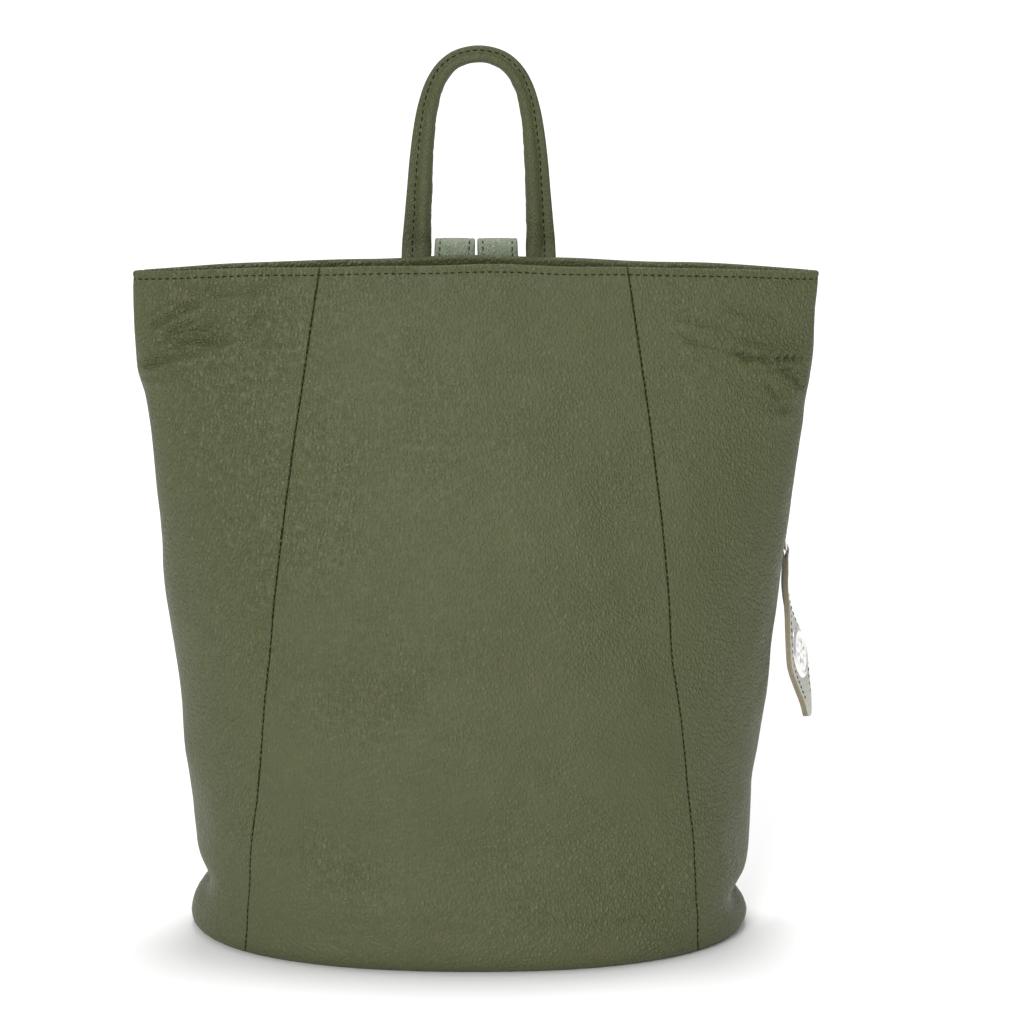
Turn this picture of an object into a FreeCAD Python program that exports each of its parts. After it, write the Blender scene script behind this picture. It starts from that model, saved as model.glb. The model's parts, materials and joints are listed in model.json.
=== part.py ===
import FreeCAD
import Part
import math
import os
from FreeCAD import Matrix, Placement, Vector

# Leather backpack, millimetres.
# The origin is the centre of the base on the ground. +Z is up, +X is the wearer's left when worn,
# -Y is the front of the bag and +Y is the side that lies against the wearer's back.

# ---------------------------------------------------------------- driving dimensions
LEATHER = 2.0
RIM_CORNER_Z = 347.7
RIM_CENTRE_Z = 353.9
RIM_HALF_WIDTH = 176.0
# Outer form: height, half width and half depth of each elliptical section.
SECTIONS = [
    (0.0, 141.0, 74.0),
    (10.0, 147.0, 79.5),
    (24.0, 142.0, 79.5),
    (46.0, 147.0, 81.0),
    (80.0, 149.6, 80.8),
    (120.0, 153.7, 78.0),
    (180.0, 160.0, 69.5),
    (240.0, 166.0, 53.5),
    (292.0, 172.4, 36.0),
    (330.0, 175.4, 23.0),
    (360.0, 177.2, 14.0),
]
# Half width of the front centre panel at four heights.
FRONT_SEAM = [(0.0, 116.7), (126.0, 106.2), (245.0, 93.5), (360.0, 77.5)]
SIDE_SEAM_TOP_Y = 3.0
SIDE_SEAM_SLOPE = 0.075

# Layers inside the wall, as distances from the wall's outer face.
TAPE_TOP = 2.05
TAPE_THICK = 0.55
LINING_OUT = 2.65
LINING_THICK = 0.35
POCKET_OUT = 3.3
POCKET_THICK = 1.1
FACING_THICK = 1.4
FACING_LOW_Z = 318.0
BASE_PANEL_THICK = 2.2
BASE_BOARD_THICK = 2.4
BASE_GAP = 0.2

# Slip pocket inside the back.
POCKET_HALF_WIDTH = 75.0
POCKET_LOW_Z = 130.0
POCKET_HIGH_Z = 255.0

# Top closure: two zip halves that hang from fixed leather gussets.
ZIP_PLANE_Z = 327.2
FLAP_HINGE_Y = 11.0
FLAP_HALF_LENGTH = 103.0
GUSSET_HALF_LENGTH = 135.0
GUSSET_THICK = 1.2
END_TAB_INNER_X = 104.0
END_TAB_OUTER_X = 123.0
TOP_SLIDER_X = 112.0

# Zip parts, in a zip's own frame: x along it, y across it, z out of it, and z = 0 on the tapes.
TOOTH_PITCH = 3.6
TOOTH_LENGTH = 1.5
TOOTH_REACH = 2.7
TOOTH_CROSS = 0.9
TOOTH_LOW = 0.05
TOOTH_HIGH = 1.5
TAPE_EDGE = 0.8
SLIDER_LENGTH = 10.0
SLIDER_HALF_WIDTH = 4.2
SLIDER_LOW = 1.9
SLIDER_HIGH = 3.1
FLANGE_THICK = 0.9
FLANGE_LOW = 0.4
BRIDGE_LENGTH = 6.4
BRIDGE_WIDTH = 1.8
BRIDGE_HIGH = 9.3
BORE_Z = 6.5
BORE_RADIUS = 2.0
WIRE_RADIUS = 0.8

# Side zip, in the right side seam.
SIDE_ZIP_LOW_Z = 104.0
SIDE_ZIP_HIGH_Z = 216.0
SIDE_ZIP_SLOT = 5.5
SIDE_ZIP_TAPE = 10.0
SIDE_ZIP_FACING_DEG = 30.0
SIDE_SLIDER_AT = 105.0
SIDE_TEETH_RISE = 0.75
SIDE_SLIDER_RISE = 0.6

# Leather tag on the side zip.
TAG_YAW_DEG = 0.0
TAG_TILT_DEG = 5.5
TAG_RING_HALF_WIDTH = 4.6
TAG_RING_DROP = 9.0
TAG_LAYER = 1.7
TAG_LENGTH = 87.0
TAG_HALF_WIDTH = 17.5
TAG_NECK_HALF_WIDTH = 3.6
TAG_NECK_LENGTH = 3.0
TAG_WIDEST = 56.0
TAG_TIP_HALF_WIDTH = 4.0
DISC_RADIUS = 13.5
DISC_THICK = 1.6
DISC_DROP = 55.0
RIVET_RADIUS = 2.5

# Top handle: a rolled leather sleeve around a cord, with a stitched outer fin.
HANDLE_Y = 24.0
HANDLE_LOW_Z = 354.5
HANDLE_HINGE_Z = 354.0
HANDLE_TUBE_RADIUS = 4.6
HANDLE_CORE_RADIUS = 3.0
HANDLE_HALF_WIDTH = 28.2
HANDLE_ARCH_Z = 411.5
HANDLE_ARCH_RISE = 47.6
FIN_HALF_WIDTH = 36.5
FIN_FOOT_HALF_WIDTH = 39.0
FIN_ARCH_Z = 407.0
FIN_ARCH_RISE = 57.0
FIN_HALF_THICK = 1.6

# Anchor of handle and straps on the back.
TAIL_THICK = 2.0
TAIL_LOW_Z = 306.0
TAIL_HIGH_Z = 349.0
PATCH_THICK = 1.8
PATCH_HALF_WIDTH = 48.0
PATCH_LOW_Z = 300.0
PATCH_HIGH_Z = 344.0

# Shoulder straps.
STRAP_INNER_X = 1.0
STRAP_WIDTH = 21.0
STRAP_THICK = 2.4
STRAP_OFF = 7.0
STRAP_ARC_Y = 27.0
STRAP_ARC_Z = 355.5
STRAP_ARC_RADIUS = 4.3
STRAP_LEG_LOW = (42.0, 294.0)
STRAP_BEND_Z = 306.0

# Lower end of each strap, in its own frame: x across the strap, y out of the back, z up along it.
# The frame runs from near the base corner (FOOT) to a point higher on the back (HEAD).
FOOT_XZ = (105.0, 38.0)
HEAD_XZ = (74.0, 143.0)
FRAME_OFF = 4.8
FRAME_FACING_DEG = 21.8
BAR_RADIUS = 1.6
LOOP_INNER = 1.95
LOOP_OUTER = 3.5
LOOP_Y = 3.6
RING_HALF_WIDTH = 12.6
RING_HEIGHT = 10.2
FRONT_BAR_Y = 6.9
FRONT_BAR_Z = 45.0
HEEL_BAR_Z = 63.0
STRAP_HALF = 10.0
PRONG_SLOT = 2.3
PRONG_RADIUS = 1.3
PRONG_RING_OUTER = 3.1
PRONG_GAP = 0.9
LOWER_TIP_Z = 100.0
KEEPER_LOW_Z = 74.0
KEEPER_HEIGHT = 9.0
KEEPER_THICK = 1.3
UPPER_PLATE_TOP_Z = 116.0
HOLE_RADIUS = 1.6
HOLE_PITCH = 9.0
TAB_HALF_WIDTH = 24.0
TAB_LOW_Z = 12.0
TAB_THICK = 2.2

BIG = 400.0


# ---------------------------------------------------------------- helpers
def ellipse_wire(z, half_width, half_depth):
    """A closed elliptical wire at height z."""
    curve = Part.Ellipse(Vector(0, 0, z), half_width, half_depth)
    return Part.Wire([curve.toShape()])


FORMS = {}


def bag_form(grow):
    """The bag's outer form, grown by a distance all round."""
    if grow not in FORMS:
        wires = [ellipse_wire(z, a + grow, b + grow) for z, a, b in SECTIONS]
        FORMS[grow] = Part.makeLoft(wires, True, False)
    return FORMS[grow]


def layer(inner, outer):
    """The skin between two grown forms."""
    return bag_form(outer).cut(bag_form(inner))


def prism_xz(points, y_low, y_high):
    """A polygon of (x, z) points, drawn out along Y."""
    wire = Part.makePolygon([Vector(x, y_low, z) for x, z in points + points[:1]])
    return Part.Face(wire).extrude(Vector(0, y_high - y_low, 0))


def prism_yz(points, x_low, x_high):
    """A polygon of (y, z) points, drawn out along X."""
    wire = Part.makePolygon([Vector(x_low, y, z) for y, z in points + points[:1]])
    return Part.Face(wire).extrude(Vector(x_high - x_low, 0, 0))


def block(x_low, x_high, y_low, y_high, z_low, z_high):
    """A box from its limits."""
    corner = Vector(x_low, y_low, z_low)
    return Part.makeBox(x_high - x_low, y_high - y_low, z_high - z_low, corner)


def rod(radius, start, end):
    """A round rod between two points."""
    along = Vector(*end).sub(Vector(*start))
    return Part.makeCylinder(radius, along.Length, Vector(*start), along)


def wire_frame(corners, radius):
    """A closed wire frame with round corners, through a list of points."""
    pieces = []
    for index, corner in enumerate(corners):
        pieces.append(rod(radius, corner, corners[(index + 1) % len(corners)]))
        pieces.append(Part.makeSphere(radius, Vector(*corner)))
    return pieces[0].multiFuse(pieces[1:]).removeSplitter()


def section_at(z):
    """Half width and half depth of the outer form at a height, by straight interpolation."""
    for low, high in zip(SECTIONS, SECTIONS[1:]):
        if low[0] <= z <= high[0]:
            part = (z - low[0]) / (high[0] - low[0])
            return tuple(low[i] + part * (high[i] - low[i]) for i in (1, 2))
    raise ValueError(z)


def depth_at(x, z):
    """How far the outer form reaches from the middle plane at a place."""
    half_width, half_depth = section_at(z)
    return half_depth * math.sqrt(1 - (x / half_width) ** 2)


def frame_placement(origin, along, out, along_is_x):
    """A placement with one axis along a direction and one pointing out as nearly as it can."""
    along = Vector(along).normalize()
    out = (out - along * out.dot(along)).normalize()
    if along_is_x:
        columns = (along, out.cross(along), out)
    else:
        columns = (out.cross(along), out, along)
    matrix = Matrix(
        columns[0].x, columns[1].x, columns[2].x, origin.x,
        columns[0].y, columns[1].y, columns[2].y, origin.y,
        columns[0].z, columns[1].z, columns[2].z, origin.z,
        0, 0, 0, 1,
    )
    return Placement(matrix)


def placed(shape, placement):
    """A copy of a shape in another frame."""
    return shape.transformed(placement.toMatrix())


def mirrored(shape):
    """The same piece on the other side of the bag."""
    return shape.mirror(Vector(0, 0, 0), Vector(1, 0, 0))


def save(shape, node):
    """One STEP file per piece, with a one-line report."""
    if isinstance(shape, list):
        shape = Part.makeCompound(shape)
    shape.exportStep("parts/" + node + ".step")
    box = shape.BoundBox
    print(f"{node:24s} {len(shape.Solids):3d} {shape.isValid()} {shape.Volume:10.0f}"
          f"  z {box.ZMin:.1f} to {box.ZMax:.1f}")


# ---------------------------------------------------------------- shell
def side_seam_y(z):
    """The side seams run just behind the widest line of the bag."""
    return SIDE_SEAM_TOP_Y + SIDE_SEAM_SLOPE * (SECTIONS[-1][0] - z)


def below_rim():
    """Everything below the crowned rim."""
    ends = [Vector(side * RIM_HALF_WIDTH, -BIG, RIM_CORNER_Z) for side in (-1, 1)]
    crown = Part.Arc(ends[0], Vector(0, -BIG, RIM_CENTRE_Z), ends[1]).toShape()
    low = [Vector(x, -BIG, z) for x, z in (
        (RIM_HALF_WIDTH, RIM_CORNER_Z), (BIG, RIM_CORNER_Z), (BIG, -BIG),
        (-BIG, -BIG), (-BIG, RIM_CORNER_Z), (-RIM_HALF_WIDTH, RIM_CORNER_Z))]
    wire = Part.Wire([crown] + Part.makePolygon(low).Edges)
    return Part.Face(wire).extrude(Vector(0, 2 * BIG, 0))


def front_centre_region():
    """The region between the two curved front seams, in front of the middle plane."""
    edges = []
    for side in (1, -1):
        curve = Part.BSplineCurve()
        curve.interpolate([Vector(side * x, -BIG, z) for z, x in FRONT_SEAM][::side])
        edges.append(curve.toShape())
    low, high = FRONT_SEAM[0], FRONT_SEAM[-1]
    top = Part.makeLine(Vector(high[1], -BIG, high[0]), Vector(-high[1], -BIG, high[0]))
    base = Part.makeLine(Vector(-low[1], -BIG, low[0]), Vector(low[1], -BIG, low[0]))
    wire = Part.Wire([edges[0], top, edges[1], base])
    return Part.Face(wire).extrude(Vector(0, BIG, 0))


def before_side_seam(shift):
    """Everything in front of the side seams, moved back by a distance."""
    low_z, high_z = -10.0, 370.0
    points = [(side_seam_y(low_z) + shift, low_z), (side_seam_y(high_z) + shift, high_z),
              (-BIG, high_z), (-BIG, low_z)]
    return prism_yz(points, -BIG, BIG)


def side_zip_slot(half_width, low_z, high_z):
    """The band along the right side seam that the side zip takes up."""
    band = before_side_seam(half_width).cut(before_side_seam(-half_width))
    return band.common(block(0, BIG, -BIG, BIG, low_z, high_z))


def make_shell():
    """Front, side and back panels, facings, lining, pocket and base."""
    rim = below_rim()
    slot = side_zip_slot(SIDE_ZIP_SLOT, SIDE_ZIP_LOW_Z, SIDE_ZIP_HIGH_Z)
    front_half = before_side_seam(0)
    centre = front_centre_region()
    wall = layer(-LEATHER, 0).common(rim)
    ahead = wall.common(front_half)
    sides = ahead.cut(centre)
    save(ahead.common(centre), "front_panel")
    save(sides.common(block(-BIG, 0, -BIG, BIG, -1, BIG)), "left_side_panel")
    save(sides.common(block(0, BIG, -BIG, BIG, -1, BIG)).cut(slot), "right_side_panel")
    save(wall.cut(front_half).cut(slot), "back_panel")

    facing = layer(-LEATHER - FACING_THICK, -LEATHER).common(rim)
    facing = facing.common(block(-BIG, BIG, -BIG, BIG, FACING_LOW_Z, BIG))
    save(facing.common(front_half), "front_facing")
    save(facing.cut(front_half), "back_facing")

    board_z = BASE_PANEL_THICK + BASE_GAP
    lining_z = board_z + BASE_BOARD_THICK + BASE_GAP
    outside = bag_form(-LINING_OUT).common(
        block(-BIG, BIG, -BIG, BIG, lining_z, FACING_LOW_Z - BASE_GAP))
    inside = bag_form(-LINING_OUT - LINING_THICK).common(
        block(-BIG, BIG, -BIG, BIG, lining_z + LINING_THICK, BIG))
    save(outside.cut(inside), "lining")

    pocket = layer(-POCKET_OUT - POCKET_THICK, -POCKET_OUT)
    save(pocket.common(block(-POCKET_HALF_WIDTH, POCKET_HALF_WIDTH, 0, BIG,
                             POCKET_LOW_Z, POCKET_HIGH_Z)), "slip_pocket")

    half_width = SECTIONS[0][1] - LEATHER - 2 * BASE_GAP
    half_depth = SECTIONS[0][2] - LEATHER - 2 * BASE_GAP
    plate = Part.Face(ellipse_wire(0, half_width, half_depth))
    save(plate.extrude(Vector(0, 0, BASE_PANEL_THICK)), "base_panel")
    board = plate.extrude(Vector(0, 0, BASE_BOARD_THICK))
    board.translate(Vector(0, 0, board_z))
    save(board, "base_board")


# ---------------------------------------------------------------- zips
def zip_teeth(length, side, phase):
    """One row of teeth, starting from x = 0."""
    teeth = []
    count = int((length - TOOTH_LENGTH - phase) / TOOTH_PITCH) + 1
    for index in range(count):
        start = phase + index * TOOTH_PITCH
        low, high = sorted((side * TOOTH_REACH, -side * TOOTH_CROSS))
        teeth.append(block(start, start + TOOTH_LENGTH, low, high, TOOTH_LOW, TOOTH_HIGH))
    return teeth


def zip_slider():
    """The slider's upper plate, its two flanges and the bridge that holds the pull."""
    half = SLIDER_LENGTH / 2
    plate = block(-half, half, -SLIDER_HALF_WIDTH, SLIDER_HALF_WIDTH, SLIDER_LOW, SLIDER_HIGH)
    flanges = [block(-half, half, *sorted((side * SLIDER_HALF_WIDTH,
                                           side * (SLIDER_HALF_WIDTH - FLANGE_THICK))),
                     FLANGE_LOW, SLIDER_LOW) for side in (-1, 1)]
    bridge = block(-BRIDGE_LENGTH / 2, BRIDGE_LENGTH / 2, -BRIDGE_WIDTH / 2, BRIDGE_WIDTH / 2,
                   SLIDER_HIGH, BRIDGE_HIGH)
    body = plate.multiFuse(flanges + [bridge])
    return body.cut(rod(BORE_RADIUS, (0, -BRIDGE_WIDTH, BORE_Z), (0, BRIDGE_WIDTH, BORE_Z)))


def make_top_zip():
    """The recessed zip across the mouth, with its gussets, end tabs, slider and pull."""
    inside = bag_form(-LEATHER - FACING_THICK - BASE_GAP)
    tape_low = ZIP_PLANE_Z - TAPE_THICK
    for side, name in ((-1, "front"), (1, "back")):
        edge = FLAP_HINGE_Y + 2 * BASE_GAP
        y_low, y_high = sorted((side * edge, side * BIG))
        strip = block(-GUSSET_HALF_LENGTH, GUSSET_HALF_LENGTH, y_low, y_high,
                      ZIP_PLANE_Z - GUSSET_THICK, ZIP_PLANE_Z)
        save(inside.common(strip), name + "_gusset")
        y_low, y_high = sorted((side * TAPE_EDGE, side * FLAP_HINGE_Y))
        save(block(-FLAP_HALF_LENGTH, FLAP_HALF_LENGTH, y_low, y_high, tape_low, ZIP_PLANE_Z),
             name + "_zip_tape")
        phase = TOOTH_PITCH / 2 if side > 0 else 0.0
        row = Part.makeCompound(zip_teeth(2 * FLAP_HALF_LENGTH, side, phase))
        row.translate(Vector(-FLAP_HALF_LENGTH, 0, ZIP_PLANE_Z))
        save(row, name + "_zip_teeth")
    tabs = [block(*sorted((side * END_TAB_INNER_X, side * END_TAB_OUTER_X)),
                  -FLAP_HINGE_Y, FLAP_HINGE_Y, tape_low, ZIP_PLANE_Z) for side in (-1, 1)]
    save(tabs, "zip_end_tabs")

    at = Vector(TOP_SLIDER_X, 0, ZIP_PLANE_Z)
    slider = zip_slider()
    slider.translate(at)
    save(slider, "top_zip_slider")

    # The pull lies flat along the zip: an axle in the bridge, two arms, a plate and a leather tab.
    arm_y = 3.0
    plate_x = 7.0
    corners = [(x, y, BORE_Z) for x, y in ((0, -arm_y), (0, arm_y), (plate_x, arm_y), (plate_x, -arm_y))]
    link = wire_frame(corners, WIRE_RADIUS)
    link.translate(at)
    save(link, "top_pull_link")
    leather_loop = folded_loop(WIRE_RADIUS + 0.3, 1.3, 4.0)
    leather_loop.rotate(Vector(0, 0, 0), Vector(0, 1, 0), 90)
    strip = block(1.8, 34.0, -4.5, 4.5, -1.3, 1.3)
    end = Part.makeCylinder(4.5, 2.6, Vector(34.0, 0, -1.3))
    puller = leather_loop.multiFuse([strip, end]).removeSplitter()
    puller = puller.cut(rod(WIRE_RADIUS + 0.3, (0, -9, 0), (0, 9, 0)))
    puller.translate(at + Vector(plate_x, 0, BORE_Z))
    save(puller, "top_pull_leather")


def folded_loop(inner, thick, width):
    """A leather fold around a bar that runs along Y, as a tube with its centre at the origin."""
    half = width / 2
    tube = rod(inner + thick, (0, -half, 0), (0, half, 0))
    return tube.cut(rod(inner, (0, -half, 0), (0, half, 0)))


def side_zip_frame():
    """Frame of the side zip: x up along it, y across it, z out of the bag, on the tapes."""
    points = []
    for z in (SIDE_ZIP_LOW_Z, SIDE_ZIP_HIGH_Z):
        half_width, half_depth = section_at(z)
        y = side_seam_y(z)
        points.append(Vector(half_width * math.sqrt(1 - (y / half_depth) ** 2), y, z))
    turn = math.radians(SIDE_ZIP_FACING_DEG)
    out = Vector(math.cos(turn), math.sin(turn), 0)
    origin = points[0] - out * TAPE_TOP
    return frame_placement(origin, points[1] - points[0], out, True)


def make_side_zip():
    """The side zip with its slider, and the leather tag that hangs from it."""
    frame = side_zip_frame()
    margin = 4.0
    skin = layer(-TAPE_TOP - TAPE_THICK, -TAPE_TOP)
    band = skin.common(side_zip_slot(SIDE_ZIP_TAPE, SIDE_ZIP_LOW_Z - margin, SIDE_ZIP_HIGH_Z + margin))
    gap = side_zip_slot(TAPE_EDGE, SIDE_ZIP_LOW_Z - 2 * margin, SIDE_ZIP_HIGH_Z + 2 * margin)
    save(band.cut(gap), "side_zip_tapes")
    row_length = SIDE_SLIDER_AT - SLIDER_LENGTH / 2 - 1.5 - margin
    teeth = zip_teeth(row_length, -1, 0.0) + zip_teeth(row_length, 1, TOOTH_PITCH / 2)
    row = Part.makeCompound(teeth)
    row.translate(Vector(margin, 0, SIDE_TEETH_RISE))
    save(placed(row, frame), "side_zip_teeth")
    slider = zip_slider()
    slider.translate(Vector(SIDE_SLIDER_AT, 0, SIDE_SLIDER_RISE))
    save(placed(slider, frame), "side_zip_slider")

    pivot = frame.multVec(Vector(SIDE_SLIDER_AT, 0, BORE_Z + SIDE_SLIDER_RISE))
    make_tag(tag_frame(pivot))
    return frame, pivot


def tag_frame(pivot):
    """Frame of the tag: x across it towards the back, y out of its face, z up along it."""
    yaw = math.radians(TAG_YAW_DEG)
    tilt = math.radians(TAG_TILT_DEG)
    out = Vector(math.cos(yaw), -math.sin(yaw), 0)
    along = Vector(0, 0, math.cos(tilt)) - out * math.sin(tilt)
    return frame_placement(pivot, along, out, False)


def make_tag(frame):
    """A wire ring, two layers of leather that fold over it, a metal disc and a rivet."""
    half, drop = TAG_RING_HALF_WIDTH, TAG_RING_DROP
    corners = [(-half, 0, 0), (half, 0, 0), (half, 0, -drop), (-half, 0, -drop)]
    save(placed(wire_frame(corners, WIRE_RADIUS), frame), "tag_ring")
    neck = TAG_NECK_HALF_WIDTH
    half_outline = [(neck, 0.0), (neck, -TAG_NECK_LENGTH), (TAG_HALF_WIDTH, -TAG_WIDEST),
                    (TAG_TIP_HALF_WIDTH, -TAG_LENGTH)]
    outline = half_outline + [(-x, z) for x, z in reversed(half_outline)]
    outline = [(x, z - drop) for x, z in outline]
    inner = WIRE_RADIUS + 0.3
    fold = rod(inner + TAG_LAYER, (-neck, 0, -drop), (neck, 0, -drop))
    hole = rod(inner, (-neck - 1, 0, -drop), (neck + 1, 0, -drop))
    for side, node in ((1, "tag_front_leather"), (-1, "tag_back_leather")):
        y_low, y_high = sorted((0, side * TAG_LAYER))
        half_space = block(-BIG, BIG, *sorted((0, side * BIG)), -BIG, BIG)
        sheet = prism_xz(outline, y_low, y_high)
        piece = sheet.fuse(fold.common(half_space)).cut(hole)
        save(placed(piece.removeSplitter(), frame), node)
    disc_z = -drop - DISC_DROP
    disc = rod(DISC_RADIUS, (0, TAG_LAYER, disc_z), (0, TAG_LAYER + DISC_THICK, disc_z))
    save(placed(disc, frame), "tag_disc")
    rivet_z = -drop - 12.0
    heads = [rod(RIVET_RADIUS, (0, side * TAG_LAYER, rivet_z), (0, side * (TAG_LAYER + 1.0), rivet_z))
             for side in (-1, 1)]
    save(placed(Part.makeCompound(heads), frame), "tag_rivet")


# ---------------------------------------------------------------- handle
def arch_wire(half_width, centre_z, rise, low_z, foot_half_width):
    """Two legs and a half ellipse over them, in the handle's plane."""
    centre = Vector(0, HANDLE_Y, centre_z)
    top = Vector(0, HANDLE_Y, centre_z + rise)
    side = Vector(half_width, HANDLE_Y, centre_z)
    arch = Part.Ellipse(top, side, centre).toShape(-math.pi / 2, math.pi / 2)
    ends = sorted((vertex.Point for vertex in arch.Vertexes), key=lambda point: point.x)
    left = Part.makeLine(Vector(-foot_half_width, HANDLE_Y, low_z), ends[0])
    right = Part.makeLine(ends[1], Vector(foot_half_width, HANDLE_Y, low_z))
    return [left, arch, right]


def tube_along(edges, radius):
    """A round bar along a path that starts upwards."""
    start = min((vertex.Point for vertex in edges[0].Vertexes), key=lambda point: point.z)
    circle = Part.Wire([Part.Circle(start, Vector(0, 0, 1), radius).toShape()])
    return Part.Wire(edges).makePipeShell([circle], True, False)


def make_handle():
    """The sleeve with its fin, and the cord inside it."""
    path = arch_wire(HANDLE_HALF_WIDTH, HANDLE_ARCH_Z, HANDLE_ARCH_RISE, HANDLE_LOW_Z, HANDLE_HALF_WIDTH)
    outer = arch_wire(FIN_HALF_WIDTH, FIN_ARCH_Z, FIN_ARCH_RISE, HANDLE_LOW_Z, FIN_FOOT_HALF_WIDTH)
    tube = tube_along(path, HANDLE_TUBE_RADIUS)
    core = tube_along(path, HANDLE_CORE_RADIUS)
    feet = [Part.makeLine(Vector(side * HANDLE_HALF_WIDTH, HANDLE_Y, HANDLE_LOW_Z),
                          Vector(side * FIN_FOOT_HALF_WIDTH, HANDLE_Y, HANDLE_LOW_Z)) for side in (-1, 1)]
    rim = Part.Wire(Part.sortEdges(path + outer + feet)[0])
    fin = Part.Face(rim).extrude(Vector(0, 2 * FIN_HALF_THICK, 0))
    fin.translate(Vector(0, -FIN_HALF_THICK, 0))
    save(tube.fuse(fin).cut(core).removeSplitter(), "handle_sleeve")
    save(core, "handle_core")


def back_patch(inner, outer, x_low, x_high, z_low, z_high):
    """A leather patch that follows the back of the bag."""
    return layer(inner, outer).common(block(x_low, x_high, 0, BIG, z_low, z_high))


def make_anchor():
    """Sewn tails of handle and straps under one leather patch."""
    strap_high = STRAP_INNER_X + STRAP_WIDTH
    tails = []
    for low, high in ((STRAP_INNER_X, strap_high), (FIN_FOOT_HALF_WIDTH - 15.0, FIN_FOOT_HALF_WIDTH)):
        piece = back_patch(0, TAIL_THICK, low, high, TAIL_LOW_Z, TAIL_HIGH_Z)
        tails.append([piece, mirrored(piece)])
    save(tails[0], "strap_tails")
    save(tails[1], "handle_tails")
    save(back_patch(TAIL_THICK, TAIL_THICK + PATCH_THICK, -PATCH_HALF_WIDTH, PATCH_HALF_WIDTH,
                    PATCH_LOW_Z, PATCH_HIGH_Z), "anchor_patch")


# ---------------------------------------------------------------- straps
def strap_frame():
    """Frame of the right strap's lower end."""
    points = [Vector(x, depth_at(x, z), z) for x, z in (FOOT_XZ, HEAD_XZ)]
    turn = math.radians(FRAME_FACING_DEG)
    out = Vector(math.sin(turn), math.cos(turn), 0)
    return frame_placement(points[0] + out * FRAME_OFF, points[1] - points[0], out, False)


def fold_x(inner, outer, half_width, y, z):
    """A leather fold around a bar that runs across the strap."""
    tube = rod(outer, (-half_width, y, z), (half_width, y, z))
    return tube.cut(rod(inner, (-half_width, y, z), (half_width, y, z)))


def make_upper_strap(frame):
    """The strap from its arc behind the rim, down the back, to the fold round the buckle."""
    x_low, x_high = STRAP_INNER_X, STRAP_INNER_X + STRAP_WIDTH
    outer_radius = STRAP_ARC_RADIUS + STRAP_THICK
    arc = rod(outer_radius, (x_low, STRAP_ARC_Y, STRAP_ARC_Z), (x_high, STRAP_ARC_Y, STRAP_ARC_Z))
    arc = arc.cut(rod(STRAP_ARC_RADIUS, (x_low, STRAP_ARC_Y, STRAP_ARC_Z),
                      (x_high, STRAP_ARC_Y, STRAP_ARC_Z)))
    arc = arc.common(block(0, BIG, -BIG, BIG, STRAP_ARC_Z, BIG))
    rise = block(x_low, x_high, STRAP_ARC_Y - outer_radius, STRAP_ARC_Y - STRAP_ARC_RADIUS,
                 TAIL_HIGH_Z + 0.5, STRAP_ARC_Z)
    start_y = STRAP_ARC_Y + STRAP_ARC_RADIUS
    low_y, low_z = STRAP_LEG_LOW
    leg = prism_yz([(start_y, STRAP_ARC_Z), (start_y + STRAP_THICK, STRAP_ARC_Z),
                    (low_y + STRAP_THICK, low_z), (low_y, low_z)], x_low, x_high)
    lean_x = (HEAD_XZ[0] - (x_low + x_high) / 2)
    lean_z = (HEAD_XZ[1] - STRAP_BEND_Z)
    across = STRAP_WIDTH / 2 * math.hypot(lean_x, lean_z) / abs(lean_z)
    over = 0.03
    head_x, head_z = HEAD_XZ[0] + over * lean_x, HEAD_XZ[1] + over * lean_z
    plan = [(x_low, STRAP_BEND_Z), (x_high, STRAP_BEND_Z), (head_x + across, head_z),
            (head_x - across, head_z)]
    down = layer(STRAP_OFF, STRAP_OFF + STRAP_THICK).common(prism_xz(plan, 0, BIG))

    half = STRAP_THICK / 2
    plate = block(-STRAP_HALF, STRAP_HALF, LOOP_Y - half, LOOP_Y + half, HEEL_BAR_Z + 2.5, UPPER_PLATE_TOP_Z)
    fold = fold_x(LOOP_INNER, LOOP_OUTER, STRAP_HALF, LOOP_Y, HEEL_BAR_Z)
    low_end = plate.fuse(fold)
    low_end = low_end.cut(block(-PRONG_SLOT, PRONG_SLOT, -10, 20, HEEL_BAR_Z - 9, HEEL_BAR_Z + 7))
    return arc.multiFuse([rise, leg, down, placed(low_end, frame)]).removeSplitter()


def make_lower_strap():
    """The strap from the base ring, through the buckle, to its tip in the keeper."""
    half = STRAP_THICK / 2
    rest_y = LOOP_Y + STRAP_THICK + 0.4
    over_y = LOOP_Y + LOOP_OUTER + 0.4 + half
    inner = [(LOOP_Y, RING_HEIGHT + 2.5), (LOOP_Y, FRONT_BAR_Z + 2.0), (over_y, HEEL_BAR_Z - 2.5),
             (over_y, HEEL_BAR_Z + 2.5), (rest_y, HEEL_BAR_Z + 9.0), (rest_y, LOWER_TIP_Z)]
    points = [(y - half, z) for y, z in inner] + [(y + half, z) for y, z in inner[::-1]]
    band = prism_yz(points, -STRAP_HALF, STRAP_HALF)
    fold = fold_x(LOOP_INNER, LOOP_OUTER, STRAP_HALF, LOOP_Y, RING_HEIGHT)
    strap = band.fuse(fold)
    strap = strap.cut(block(-PRONG_SLOT, PRONG_SLOT, -20, 20, FRONT_BAR_Z + 1.0, HEEL_BAR_Z + 4.0))
    for index in range(2):
        z = FRONT_BAR_Z - HOLE_PITCH * (index + 1)
        strap = strap.cut(rod(HOLE_RADIUS, (0, -20, z), (0, 20, z)))
    tip_hole = rod(HOLE_RADIUS, (0, -20, LOWER_TIP_Z - HOLE_PITCH), (0, 20, LOWER_TIP_Z - HOLE_PITCH))
    return strap.cut(tip_hole).removeSplitter()


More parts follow.
